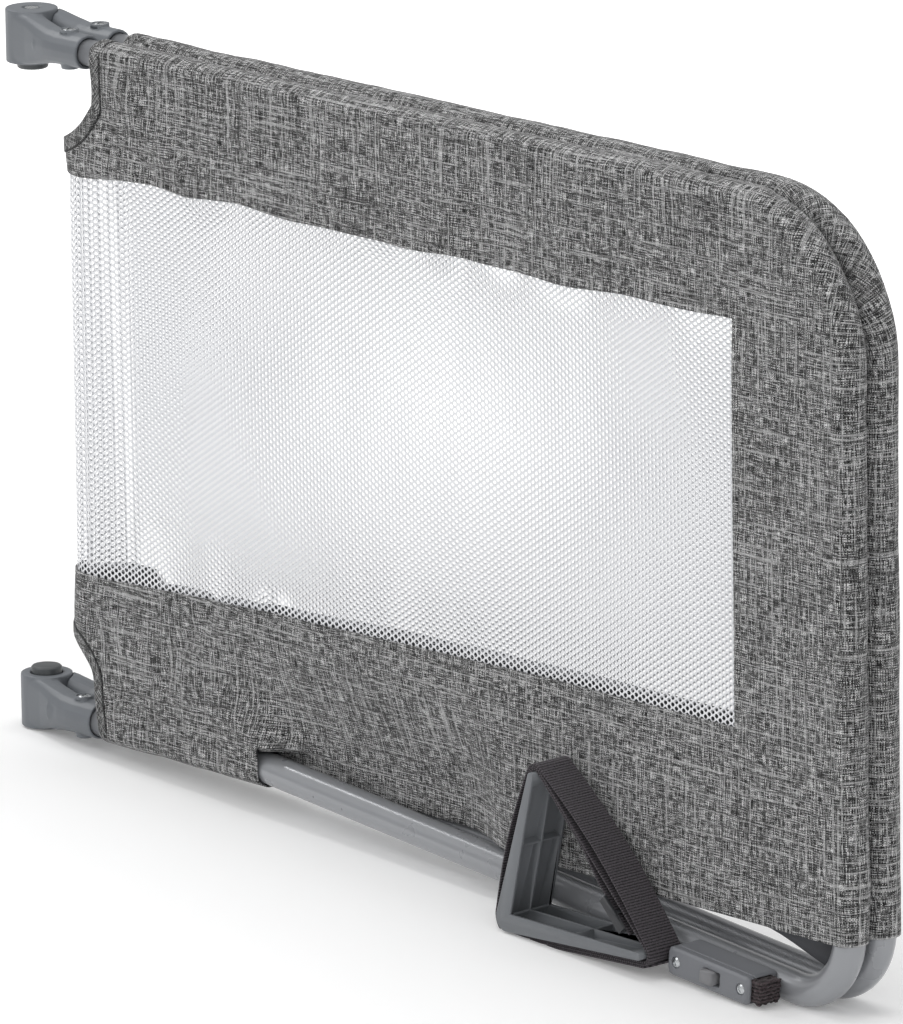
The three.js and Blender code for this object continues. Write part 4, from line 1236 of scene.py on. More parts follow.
    def sleeve(self, share: float, radius: float, tail: float) -> tuple[float, float, float]:
        """A sleeve's section past the flat front.

        Args:
            share: From 0 at the front lip, over the tube, to 1 at the seam of the flap.
            radius: Radius of the sleeve's middle.
            tail: How far below the tube the flap is sewn to the front.

        Returns:
            Reach to the front, reach outwards, and the length of cloth from the lip.
        """
        seam = Vector((self.plane.reach - self.flap_seat, -tail))
        end = math.tau + math.atan2(seam.y, seam.x) - math.acos(radius / seam.length)
        start = math.asin(self.lip / self.plane.reach)
        if share <= self.arc_share:
            angle = lerp(start, end, share / self.arc_share)
            size = lerp(self.plane.reach, radius, smooth_step(start, math.pi / 2, angle))
            return size * math.cos(angle), size * math.sin(angle), radius * (angle - start)
        touch = Vector((radius * math.cos(end), radius * math.sin(end)))
        flap = touch.lerp(seam, (share - self.arc_share) / (1 - self.arc_share))
        return flap.x, flap.y, radius * (end - start) + (flap - touch).length

    def band(self, columns: int, rows: Sequence[float], inner: Callable, outer: Callable,
             left: Callable | None = None, sleeve: bool = False, groove: int = 0) -> BMesh:
        """A flat stretch of the cloth between two edges.

        Args:
            columns: Cells along the edges.
            rows: Shares from the inner edge to the outer one.
            inner: Gives (x, z) on the inner edge at a share.
            outer: Gives (x, z) on the outer edge at a share.
            left: Gives the unrolled left end at a height, where the stretch starts at a cut-out.
            sleeve: Whether it is the low sleeve's own cloth.
            groove: The row that a seam presses in, if not 0.

        Returns:
            The patch.
        """
        def spot(s: float, t: float) -> tuple[float, float]:
            """The unrolled place at two shares."""
            row = rows[round(t * (len(rows) - 1))]
            start, end = inner(s), outer(s)
            z = lerp(start[1], end[1], row)
            if left is None:
                return lerp(start[0], end[0], row), z
            first, last = left(z), lerp(inner(1)[0], outer(1)[0], row)
            return lerp(first, last, s), z

        def place(s: float, t: float) -> Vector:
            """The place on the slack cloth at two shares."""
            u, z = spot(s, t)
            pressed = self.groove_depth if groove and round(t * (len(rows) - 1)) == groove else 0.0
            return self.plane.at(u, z, self.plane.ease(u, z) - self.pull(u, z, sleeve) - pressed)

        return face_front(sheet_patch(columns, len(rows) - 1, place, spot))

    def flap_drop(self, share: float) -> float:
        """How far below the front hem the side sleeve's reverse side hangs, at a share of its section.

        Args:
            share: The share.

        Returns:
            The distance.
        """
        behind = smooth_step(0.4, 0.56, share)
        low = lerp(self.flap_low_z, self.flap_seam_z, smooth_step(self.arc_share, 1, share))
        return behind * (self.hem_z - low)

    def wrap(self, columns: int, stop: Callable, radius: Callable, tail: Callable,
             hem: bool = False) -> BMesh:
        """A sleeve over a tube, whose flap keeps behind the front cloth.

        Args:
            columns: Cells along the tube.
            stop: Gives the tube's centre and its outward direction in XZ at a share.
            radius: Gives the sleeve's radius at a share.
            tail: Gives the flap's depth at a share.
            hem: Whether it is the side sleeve's lowest stretch, whose reverse side hangs lower.

        Returns:
            The patch.
        """
        arc, bent, hung = self.arc_share, self.arc_cells, self.flap_cells
        shares = [arc * i / bent for i in range(bent + 1)]
        shares += [arc + (1 - arc) * i / hung for i in range(1, hung + 1)]
        cells = bent + hung

        def parts(s: float, t: float) -> tuple:
            """The tube's centre, the outward direction, the section and its share at two shares."""
            centre, out = stop(s)
            share = shares[round(t * cells)]
            return centre, out, self.sleeve(share, radius(s), tail(s)), share

        def place(s: float, t: float) -> Vector:
            """The place on the slack sleeve at two shares."""
            centre, out, (front, outward, _), share = parts(s, t)
            spot = centre + out * outward
            bulge = noise.noise(Vector((spot.x * 24, spot.y * 24, self.plane.seed + share * 1.5)))
            fine = noise.noise(Vector((spot.x * 70, spot.y * 70, self.plane.seed + share * 3)))
            lift = (bulge * 0.9 + fine * 0.35 + 0.25) * MM * smooth_step(0, 0.12, share)
            lift *= smooth_step(1, 0.75, share)
            size = math.hypot(front, outward)
            grown = 1 + lift / size if share < arc else 1
            spot = centre + out * outward * grown
            drop = self.flap_drop(share) * s if hem else 0.0
            lip = self.plane.reach - front + self.plane.ease(spot.x, spot.y)
            y = -self.layout.half_spacing - front * grown - lip * smooth_step(0.12, 0, share)
            if share > arc:
                out = self.plane.ease(spot.x, spot.y) - self.pull(spot.x, spot.y, True)
                y = max(y, self.flap_gap - self.plane.radius - out)
            return Vector((spot.x, y, spot.y - drop))

        def flat(s: float, t: float) -> tuple[float, float]:
            """The unrolled place at two shares."""
            centre, out, (_, _, length), _ = parts(s, t)
            spot = centre + out * (self.lip + length)
            return spot.x, spot.y

        return face_front(sheet_patch(columns, cells, place, flat))

    def band_rows(self, edge: tuple, window: float, lip: float, counts: tuple[int, int, int]) -> list[float]:
        """A band's rows, as shares from the window's edge to a sleeve's lip.

        Args:
            edge: The curve of the cut-out that the band ends at.
            window: Height of the window's edge at the fold.
            lip: Height of the lip.
            counts: Cells before, beside and after the cut-out.

        Returns:
            The shares, closer together at the seam and beside the cut-out.
        """
        before, beside, after = counts
        cut = [(self.curve(edge, 1 - i / beside)[1] - window) / (lip - window) for i in range(beside + 1)]
        rows = [0, *((self.groove + self.groove_width * i) / abs(lip - window) for i in (-1, 0, 1))]
        rows += [lerp(rows[-1], cut[0], i / before) for i in range(1, before)] + cut
        return rows + [lerp(cut[-1], 1, i / after) for i in range(1, after + 1)]

    def build(self, finishes: Finishes) -> Object:
        """Makes the cover's cloth of bands round the window and wraps over the tubes.

        Args:
            finishes: The materials.

        Returns:
            The cloth's object.
        """
        place, apex, right, split = self.layout, self.plane.apex, self.window_right, self.low_sleeve_end
        high_lip, low_lip = place.top_z + self.lip, place.low_z - self.lip
        side_x, side_foot = place.corner_x + self.lip, self.window_bottom(right)
        centre = Vector((place.corner_x - self.corner, place.top_z - self.corner))
        top_rows = self.band_rows(self.upper_edge, self.window_above(apex), high_lip, (3, 12, 12))
        low_rows = self.band_rows(self.lower_edge, self.window_bottom(apex), low_lip, (7, 10, 9))
        hem_rows = [i / 3 for i in range(4)]
        side_cells = len(top_rows) - 1
        low_start = self.lower_left(low_lip)

        def on_arc(s: float) -> Vector:
            """The outward direction at a share of the corner."""
            return Vector((math.sin(s * math.pi / 2), math.cos(s * math.pi / 2)))

        def arc_edge(s: float) -> tuple[float, float]:
            """The cloth's outer edge at a share of the corner."""
            spot = centre + on_arc(s) * (self.corner + self.lip)
            return spot.x, spot.y

        def side_edge(z: float) -> Callable:
            """A level edge across the side band, whose columns carry on its rows."""
            return lambda s: (lerp(right, side_x, top_rows[round(s * side_cells)]), z)

        patches = [
            self.band(220, top_rows, self.edge(apex, right, self.window_above),
                      self.edge(self.top_sleeve_x, centre.x, high_lip), self.upper_left, groove=2),
            self.band(16, top_rows, lambda s: (right, self.plane.window_top), arc_edge),
            self.band(46, top_rows, lambda s: (right, lerp(self.plane.window_top, side_foot, s)),
                      lambda s: (side_x, lerp(centre.y, side_foot, s)), groove=2),
            self.band(64, low_rows, self.edge(apex, split, self.window_bottom),
                      self.edge(low_start, split, low_lip), self.lower_left, True, 2),
            self.band(150, low_rows, self.edge(split, right, self.window_bottom),
                      self.edge(split, right, low_lip), groove=2),
            self.band(side_cells, low_rows, side_edge(side_foot), side_edge(low_lip)),
            self.band(150, hem_rows, self.edge(split, right, low_lip), self.edge(split, right, self.hem_z)),
            self.band(side_cells, hem_rows, side_edge(low_lip), side_edge(self.hem_z)),
            self.wrap(220, lambda s: (Vector((lerp(self.top_sleeve_x, centre.x, s), place.top_z)),
                                      Vector((0, 1))),
                      lambda s: self.top_sleeve, lambda s: self.top_tail),
            self.wrap(16, lambda s: (centre + on_arc(s) * self.corner, on_arc(s)),
                      lambda s: lerp(self.top_sleeve, self.side_sleeve, s),
                      lambda s: lerp(self.top_tail, self.side_tail, s)),
        ]
        for cells, start, end in (
            (46, centre.y, side_foot), (len(low_rows) - 1, side_foot, low_lip),
            (len(hem_rows) - 1, low_lip, self.hem_z),
        ):
            patches.append(self.wrap(
                cells, lambda s: (Vector((place.corner_x, lerp(start, end, s))), Vector((1, 0))),
                lambda s: self.side_sleeve, lambda s: self.side_tail, end == self.hem_z,
            ))
        patches.append(self.wrap(
            64, lambda s: (Vector((lerp(low_start, split, s), place.low_z)), Vector((0, -1))),
            lambda s: self.side_sleeve, lambda s: self.top_tail,
        ))
        bm = join(patches)
        place.seat(bm, self.side)
        name = self.side.value
        return show(
            f"{name}_cover_cloth", bm, finishes.cloth, self.side.body, "cover_cloth", [f"{name}_cover"],
            modifiers=[("SOLIDIFY", {"thickness": self.thickness, "offset": 0.0, "material_offset": 1})],
            lining=finishes.lining,
        )

    def strip(self, name: str, path: Sequence[tuple[float, float]], inward: float, width: float,
              wrap: Callable, finishes: Finishes) -> Object:
        """A binding that follows a cut-out's edge on the flat cloth and then goes round the tube.

        Args:
            name: The binding's place, upper or lower.
            path: Unrolled points of the edge, from the fold to the tube.
            inward: 1 where the cloth lies on the path's right side, -1 where on its left.
            width: The binding's width.
            wrap: Gives the place on the sleeve at a share and a distance from the edge.
            finishes: The materials.

        Returns:
            The binding's object.
        """
        flat_points = [Vector(point) for point in path]
        normals = []
        for i, point in enumerate(flat_points):
            run = flat_points[min(i + 1, len(flat_points) - 1)] - flat_points[max(i - 1, 0)]
            normals.append(Vector((run.y, -run.x)).normalized() * inward)
        lengths = lengths_to(flat_points)
        turns = self.arc_cells + self.flap_cells
        count = len(path) - 1 + turns

        def spot(s: float, t: float) -> tuple[float, float]:
            """The place along and across the tape at two shares."""
            index = round(s * count)
            if index < len(path):
                return lengths[index], t * self.binding_width
            return lengths[-1] + wrap((index - len(path) + 1) / turns, 0)[1], t * self.binding_width

        def place(s: float, t: float) -> Vector:
            """The place of the tape's middle at two shares."""
            index = round(s * count)
            across = t * width
            if index < len(path):
                u, z = flat_points[index] + normals[index] * across
                u = max(u, self.plane.apex)
                return self.plane.at(u, z, self.plane.ease(u, z))
            return wrap((index - len(path) + 1) / turns, across)[0]

        bm = sheet_patch(count, 4, place, spot)
        self.layout.seat(bm, self.side)
        node = f"{self.side.value}_{name}_binding"
        return show(
            f"{node}_tape", bm, finishes.binding, self.side.body, "binding", [node],
            modifiers=[("SOLIDIFY", {"thickness": self.binding_thickness, "offset": 0.0}),
                       ("BEVEL", {"width": self.binding_edge, "segments": 2, "limit_method": "ANGLE"})],
        )

    def around(self, x: float, z: float, out: float, radius: float) -> Callable:
        """A binding's way round a sleeve's end.

        Args:
            x: The sleeve's end.
            z: Height of the tube's centre line.
            out: 1 where the sleeve goes over the tube, -1 where under it.
            radius: Radius of the sleeve's middle.

        Returns:
            A function that gives the place and the length from the lip at a share and a distance in.
        """
        def spot(share: float, across: float) -> tuple[Vector, float]:
            """The place and the length from the lip."""
            front, outward, length = self.sleeve(share, radius, self.top_tail)
            return Vector((x + across, -self.layout.half_spacing - front, z + out * outward)), length

        return spot

    def cut_path(self, points: tuple) -> list[tuple[float, float]]:
        """The unrolled points of a curved cut-out.

        Args:
            points: The curve's three points in millimetres.

        Returns:
            The points from the fold to the curve's outer end.
        """
        curve = [self.curve(points, 1 - i / 12) for i in range(13)]
        path = [(self.plane.unroll(x), z) for x, z in curve]
        return [path[0], *(point for point in path[1:] if point[0] > self.plane.apex)]

    def bind(self, finishes: Finishes) -> list[Object]:
        """Makes the bound edges of the cut-outs at the two hinges.

        Args:
            finishes: The materials.

        Returns:
            The two tapes.
        """
        place = self.layout
        upper, lower = self.cut_path(self.upper_edge), self.cut_path(self.lower_edge)
        heights = [lerp(upper[-1][1], place.top_z + self.lip, i / 8) for i in range(1, 9)]
        upper += [(self.top_sleeve_x, z) for z in heights]
        heights = [lerp(lower[-1][1], place.low_z - self.lip, i / 8) for i in range(1, 9)]
        lower += [(self.lower_left(z), z) for z in heights]
        return [
            self.strip("upper", upper, 1, self.binding_width,
                       self.around(self.top_sleeve_x, place.top_z, 1, self.top_sleeve), finishes),
            self.strip("lower", lower, -1, self.low_binding_width,
                       self.around(lower[-1][0], place.low_z, -1, self.side_sleeve), finishes),
        ]


@dataclass(frozen=True)
class NetLattice:
    """The knitted net laid flat: diamond openings between strands."""

    pitch_x: float = 6.1 * MM
    pitch_z: float = 3.9 * MM
    strand: float = 0.86 * MM
    corner_cut: float = 1.1 * MM

    def build(self, left: float, right: float, low: float, high: float,
              keep: Callable[[Vector], bool] | None = None) -> BMesh:
        """Makes a stretch of the net in the XY plane.

        Args:
            left: Its left end.
            right: Its right end.
            low: Its lower end.
            high: Its upper end.
            keep: Tells whether a cell stays, from its middle.

        Returns:
            The lattice with its flat place as its UV map.
        """
        columns = max(2, round((right - left) / self.pitch_x))
        rows = round((high - low) / self.pitch_z)
        pitch = Vector(((right - left) / columns, (high - low) / rows))
        count = columns + rows
        bm = bmesh.new()
        bmesh.ops.create_grid(bm, x_segments=count, y_segments=count, size=count / 2)
        turn = Matrix.Rotation(math.pi / 4, 3, "Z")
        scale = Matrix.Diagonal((pitch.x / math.sqrt(2), pitch.y / math.sqrt(2), 1))
        bmesh.ops.transform(bm, matrix=(scale @ turn).to_4x4(), verts=bm.verts)
        middle = Vector((left + pitch.x * round(columns / 2), (low + high) / 2, 0))
        bmesh.ops.translate(bm, vec=middle, verts=bm.verts)
        for normal, spot in (((-1, 0, 0), left), ((1, 0, 0), right)):
            bmesh.ops.bisect_plane(
                bm, geom=[*bm.verts, *bm.edges, *bm.faces], dist=1e-6, plane_co=(spot, 0, 0), plane_no=normal,
                clear_outer=True,
            )
        outside = [
            face for face in bm.faces
            if not low < face.calc_center_median().y < high or (keep and not keep(face.calc_center_median()))
        ]
        bmesh.ops.delete(bm, geom=outside, context="FACES")
        cell_mark = bm.faces.layers.int.new("cell")
        cells = list(bm.faces)
        bmesh.ops.inset_individual(bm, faces=cells, thickness=self.strand / 2, use_even_offset=True)
        tips = []
        for cell in cells:
            cell[cell_mark] = 1
            middle_x = cell.calc_center_median().x
            tips += [vert for vert in cell.verts if abs(vert.co.x - middle_x) > pitch.x / 5]
        bmesh.ops.bevel(
            bm, geom=tips, offset=self.corner_cut, affect="VERTICES", segments=1, profile=0.5, material=-1,
        )
        holes = [face for face in bm.faces if face[cell_mark] and len(face.verts) > 3]
        bmesh.ops.delete(bm, geom=holes, context="FACES")
        bm.faces.layers.int.remove(cell_mark)
        layer = bm.loops.layers.uv.new("UVMap")
        for face in bm.faces:
            for loop in face.loops:
                loop[layer].uv = loop.vert.co.xy
        return bm


@dataclass
class WindowNet:
    """One half's knitted net, behind the window's edges and turned round the fold."""

    cover: Cover
    margin: float = 5 * MM
    behind: float = 0.9 * MM

    def build(self, finishes: Finishes) -> Object:
        """Makes the net.

        Args:
            finishes: The materials.

        Returns:
            The piece's object.
        """
        cover, plane = self.cover, self.cover.plane
        bm = NetLattice().build(
            plane.apex, cover.window_right + self.margin,
            plane.window_low - 3 * self.margin, plane.window_top + self.margin,
            lambda spot: spot.y > cover.window_bottom(spot.x) - self.margin,
        )
        for vert in bm.verts:
            u, z, _ = vert.co
            vert.co = plane.at(u, z, plane.ease(u, z) - self.behind)
        cover.layout.seat(bm, cover.side)
        name = cover.side.value
        return show(f"{name}_window_net", bm, finishes.net, cover.side.body, "net", [f"{name}_mesh"],
                    smooth=False)


@dataclass
class FoldGusset:
    """The slack cloth and net between the two halves at the fold."""

    cover: Cover
    columns: int = 24
    rows: int = 12
    open_width: float = 45 * MM

    def build(self, finishes: Finishes) -> list[Object]:
        """Makes the two cloth bands and the net between them.

        Args:
            finishes: The materials.

        Returns:
            The three objects.
        """
        cover, plane = self.cover, self.cover.plane
        bands = (
            ("upper_gusset", plane.window_top, cover.upper_edge[2][1] * MM, finishes.cloth, "cover_cloth"),
            ("net_gusset", plane.window_low, plane.window_top, finishes.net, "net"),
            ("lower_gusset", cover.lower_edge[2][1] * MM, plane.window_low, finishes.cloth, "cover_cloth"),
        )
        made = []
        reach, half, fold = plane.radius, plane.fold_gap / 2, cover.layout.fold
        for name, low, high, material, slot in bands:

            def place(s: float, t: float) -> Vector:
                """The place between the halves at two shares."""
                y, z = lerp(-half, half, s), lerp(low, high, t)
                return Vector((plane.fold_x - math.sqrt(reach ** 2 - y ** 2) - plane.slack(z), y, z))

            if slot == "net":
                bm = NetLattice().build(0, self.open_width, low, high)
                for vert in bm.verts:
                    vert.co = place(vert.co.x / self.open_width, (vert.co.y - low) / (high - low))
            else:
                bm = sheet_patch(self.columns, self.rows, place,
                                 lambda s, t: (s * self.open_width, lerp(low, high, t)))
            cover.layout.seat(bm)
            piece = show(name, bm, material, "", slot)
            Side.FRONT.body
            Side.REAR.body
            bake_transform(piece)
            made.append(piece)
        return made


# Mouldings


def node_mesh(name: str) -> BMesh:
    """A copy of a CAD node's mesh with its loose triangles merged.

    Args:
        name: The node.

    Returns:
        The copy.
    """
    bm = bmesh.new()
    bm.from_mesh(bpy.data.objects[name].data)
    bmesh.ops.remove_doubles(bm, verts=bm.verts, dist=1e-6)
    return bm


def carve(piece: Object, cutter: BMesh, operation: str = "DIFFERENCE") -> None:
    """Cuts a closed shape out of a piece, or joins it on with the operation UNION.

    Args:
        piece: The piece.
        cutter: The shape, freed here.
        operation: DIFFERENCE or UNION.
    """
    bmesh.ops.recalc_face_normals(cutter, faces=cutter.faces)
    mesh = new_mesh("cutter", cutter)
    tool = new_object("cutter", mesh)
    settle(piece, [("BOOLEAN", {"operation": operation, "object": tool, "solver": "EXACT"})])
    bpy.data.objects.remove(tool)
    bpy.data.meshes.remove(mesh)


def upright_rod(centre: Vector, radius: float, low: float, high: float, sides: int = 64) -> BMesh:
    """A closed upright cylinder between two heights.

    Args:
        centre: A point on its axis.
        radius: Its radius.
        low: Its lower end.
        high: Its upper end.
        sides: Faces round it.

    Returns:
        The cylinder.
    """
    bm = bmesh.new()
    place = Matrix.Translation((centre.x, centre.y, (low + high) / 2))
    bmesh.ops.create_cone(
        bm, cap_ends=True, segments=sides, radius1=radius, radius2=radius, depth=high - low, matrix=place,
    )
    return bm


@dataclass(frozen=True)
class Moulding:
    """A frame node whose facets are smoothed into a moulded skin.

    Args:
        node: The CAD node.
        body: The body that it rides on.
        voxel: Size of the remesh.
        rounds: Rounds of smoothing, which set the edges' radius.
        ripple: How far folds stand out of the skin.
        ripple_count: Their count per metre.
        plug: Where a cylinder of radius and depth 1 is put to fill a bore, or None.
    """

    node: str
    body: str
    voxel: float = 0.5 * MM
    rounds: int = 10
    ripple: float = 0.0
    ripple_count: float = 420
    plug: Matrix | None = None

    def build(self, material: Material, slot: str) -> Object:
        """Makes the skin and hides the node.

        Args:
            material: Its finish.
            slot: The record's material slot.

        Returns:
            The piece's object.
        """
        bm = node_mesh(self.node)
        if self.plug:
            bmesh.ops.create_cone(
                bm, cap_ends=True, segments=48, radius1=1, radius2=1, depth=1, matrix=self.plug,
            )
        piece = show(
            f"{self.node}_skin", bm, material, self.body, slot, [self.node],
            modifiers=[("REMESH", {"mode": "VOXEL", "voxel_size": self.voxel}),
                       ("SMOOTH", {"factor": 0.5, "iterations": self.rounds})],
        )
        if self.ripple:
            moves = [noise.noise(vert.co * self.ripple_count) * self.ripple for vert in piece.data.vertices]
            for vert, move in zip(piece.data.vertices, moves):
                vert.co += vert.normal * move
        return piece


@dataclass(frozen=True)
class Knuckle:
    """One half of a folding hinge: a barrel on the fold axis with a socket for the tube.

    Args:
        level: The hinge, upper or lower.
        side: The half that it rides on.
        gap_radius: Radius of the cut that sets the rear arm back from the front half's barrel.
        gap_forward: How far that cut's axis lies before the fold axis, which keeps the outer wall whole.
        barrel_radius: Radius within which the barrel's top is looked for.
        boss_radius: Radius of the boss round the screw.
        boss_height: Its height down from the screw's top.
        recess_radius: Radius of the screw's recess in its boss.
        recess_depth: Depth of that recess.
        dish_radius: Radius of the round recess in the hinge's closed end.
        dish_depth: Depth of that recess.
        plug_start: Fold axis to where the bore's filling starts.
        plug_end: Fold axis to where it ends, before the tube.
        plug_ease: How far the filling reaches into the bore's wall.
        spare: How far a cut goes on past the piece.
    """

    level: str
    side: Side
    gap_radius: float = 17.4 * MM
    gap_forward: float = 2.2 * MM
    barrel_radius: float = 12 * MM
    boss_radius: float = 5.7 * MM
    boss_height: float = 2.4 * MM
    recess_radius: float = 4.9 * MM
    recess_depth: float = 0.8 * MM
    dish_radius: float = 6.2 * MM
    dish_depth: float = 1.4 * MM
    plug_start: float = 24 * MM
    plug_end: float = 41 * MM
    plug_ease: float = 0.3 * MM
    spare: float = 5 * MM

    def plug(self, layout: Layout) -> Matrix:
        """Where the filling stands that keeps the socket's thin wall closed.

        Args:
            layout: The rail's shared places.

        Returns:
            The placement of a cylinder of radius and depth 1.
        """
        radius, height = layout.low_radius, layout.low_z
        if self.level == "upper":
            radius, height = layout.top_radius, layout.top_z
        across = layout.half_spacing * (-1 if self.side is Side.FRONT else 1)
        middle = Vector(((self.plug_start + self.plug_end) / 2, across, height))
        reach = radius + self.plug_ease
        size = Matrix.Diagonal((reach, reach, self.plug_end - self.plug_start, 1))
        return Matrix.Translation(layout.fold + middle) @ Matrix.Rotation(math.pi / 2, 4, "Y") @ size

    def build(self, layout: Layout, finishes: Finishes) -> None:
        """Makes the skin with its disc gap and recesses.

        Args:
            layout: The rail's shared places.
            finishes: The materials.
        """
        node = f"{self.level}_{self.side.value}_knuckle"
        moulding = Moulding(node, self.side.body, 0.45 * MM, 24, plug=self.plug(layout))
        piece = moulding.build(finishes.hinge, "hinge_plastic")
        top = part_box(node)[1].z
        barrel = max(
            vert.co.z for vert in bpy.data.objects[node].data.vertices
            if (vert.co.xy - layout.fold.xy).length < self.barrel_radius
        )
        if top - barrel > self.spare:
            middle = layout.fold - Vector((0, self.gap_forward, 0))
            carve(piece, upright_rod(middle, self.gap_radius, barrel + 0.1 * MM, top + self.spare))
        screw_low, screw_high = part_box(f"{self.level}_{self.side.value}_socket_screw")
        centre, rim = (screw_low + screw_high) / 2, screw_high.z
        carve(piece, upright_rod(centre, self.boss_radius, rim - self.boss_height, rim), "UNION")
        carve(piece, upright_rod(centre, self.recess_radius, rim - self.recess_depth, rim + self.spare))
        if self.level == "upper" and top - barrel < self.spare:
            carve(piece, upright_rod(layout.fold, self.dish_radius, top - self.dish_depth, top + self.spare))
        piece.data.polygons.foreach_set("use_smooth", [True] * len(piece.data.polygons))


@dataclass(frozen=True)
class CrossHead:
    """A pan-head screw with a cross recess.

    Args:
        node: The CAD node that it stands for.
        body: The body that it rides on.
        radius: Radius of the head.
        axis: The way the head faces.
        proud: How far the head stands out of the node's own head.
        turn: How far the cross is turned about the axis.
    """

    node: str
    body: str
    radius: float
    axis: Vector
    proud: float = 0.3 * MM
    turn: float = 0.4

    def head(self) -> BMesh:
        """The domed head, facing +Z with its top at z = 0.

        Returns:
            The head.
        """
        bm = bmesh.new()
        size = self.radius
        bmesh.ops.create_cone(
            bm, cap_ends=True, segments=40, radius1=size, radius2=size, depth=0.25 * size,
            matrix=Matrix.Translation((0, 0, -0.425 * size)),
        )
        top = [max(bm.faces, key=lambda face: face.calc_center_median().z)]
        for thickness, rise in ((0.12, 0.1), (0.18, 0.1), (0.25, 0.07), (0.2, 0.03)):
            bmesh.ops.inset_region(bm, faces=top, thickness=thickness * size, depth=0)
            inner = list({vert for face in top for vert in face.verts})
            bmesh.ops.translate(bm, vec=(0, 0, rise * size), verts=inner)
        bmesh.ops.recalc_face_normals(bm, faces=bm.faces)
        return bm

    def bar(self, turn: float) -> BMesh:
        """One bar of the cross recess, turned about the axis.

        Args:
            turn: How far.

        Returns:
            The bar.
        """
        bm = bmesh.new()
        size = self.radius
        spread = Matrix.Rotation(turn, 4, "Z") @ Matrix.Diagonal((1.15 * size, 0.24 * size, 0.6 * size, 1))
        bmesh.ops.create_cube(bm, size=1, matrix=spread)
        return bm

    def build(self, finishes: Finishes) -> None:
        """Makes the screw's head and hides the node.

        Args:
            finishes: The materials.
        """
        low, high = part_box(self.node)
        centre = (low + high) / 2
        reach = max(abs(self.axis.dot(corner - centre)) for corner in (low, high)) + self.proud
        facing = self.axis.to_track_quat("Z", "Y").to_matrix().to_4x4()
        piece = show(f"{self.node}_head", self.head(), finishes.zinc, self.body, "zinc", [self.node],
                     smooth=False)
        for turn in (self.turn, self.turn + math.pi / 2):
            carve(piece, self.bar(turn))
        piece.data.transform(Matrix.Translation(centre + self.axis * reach) @ facing)


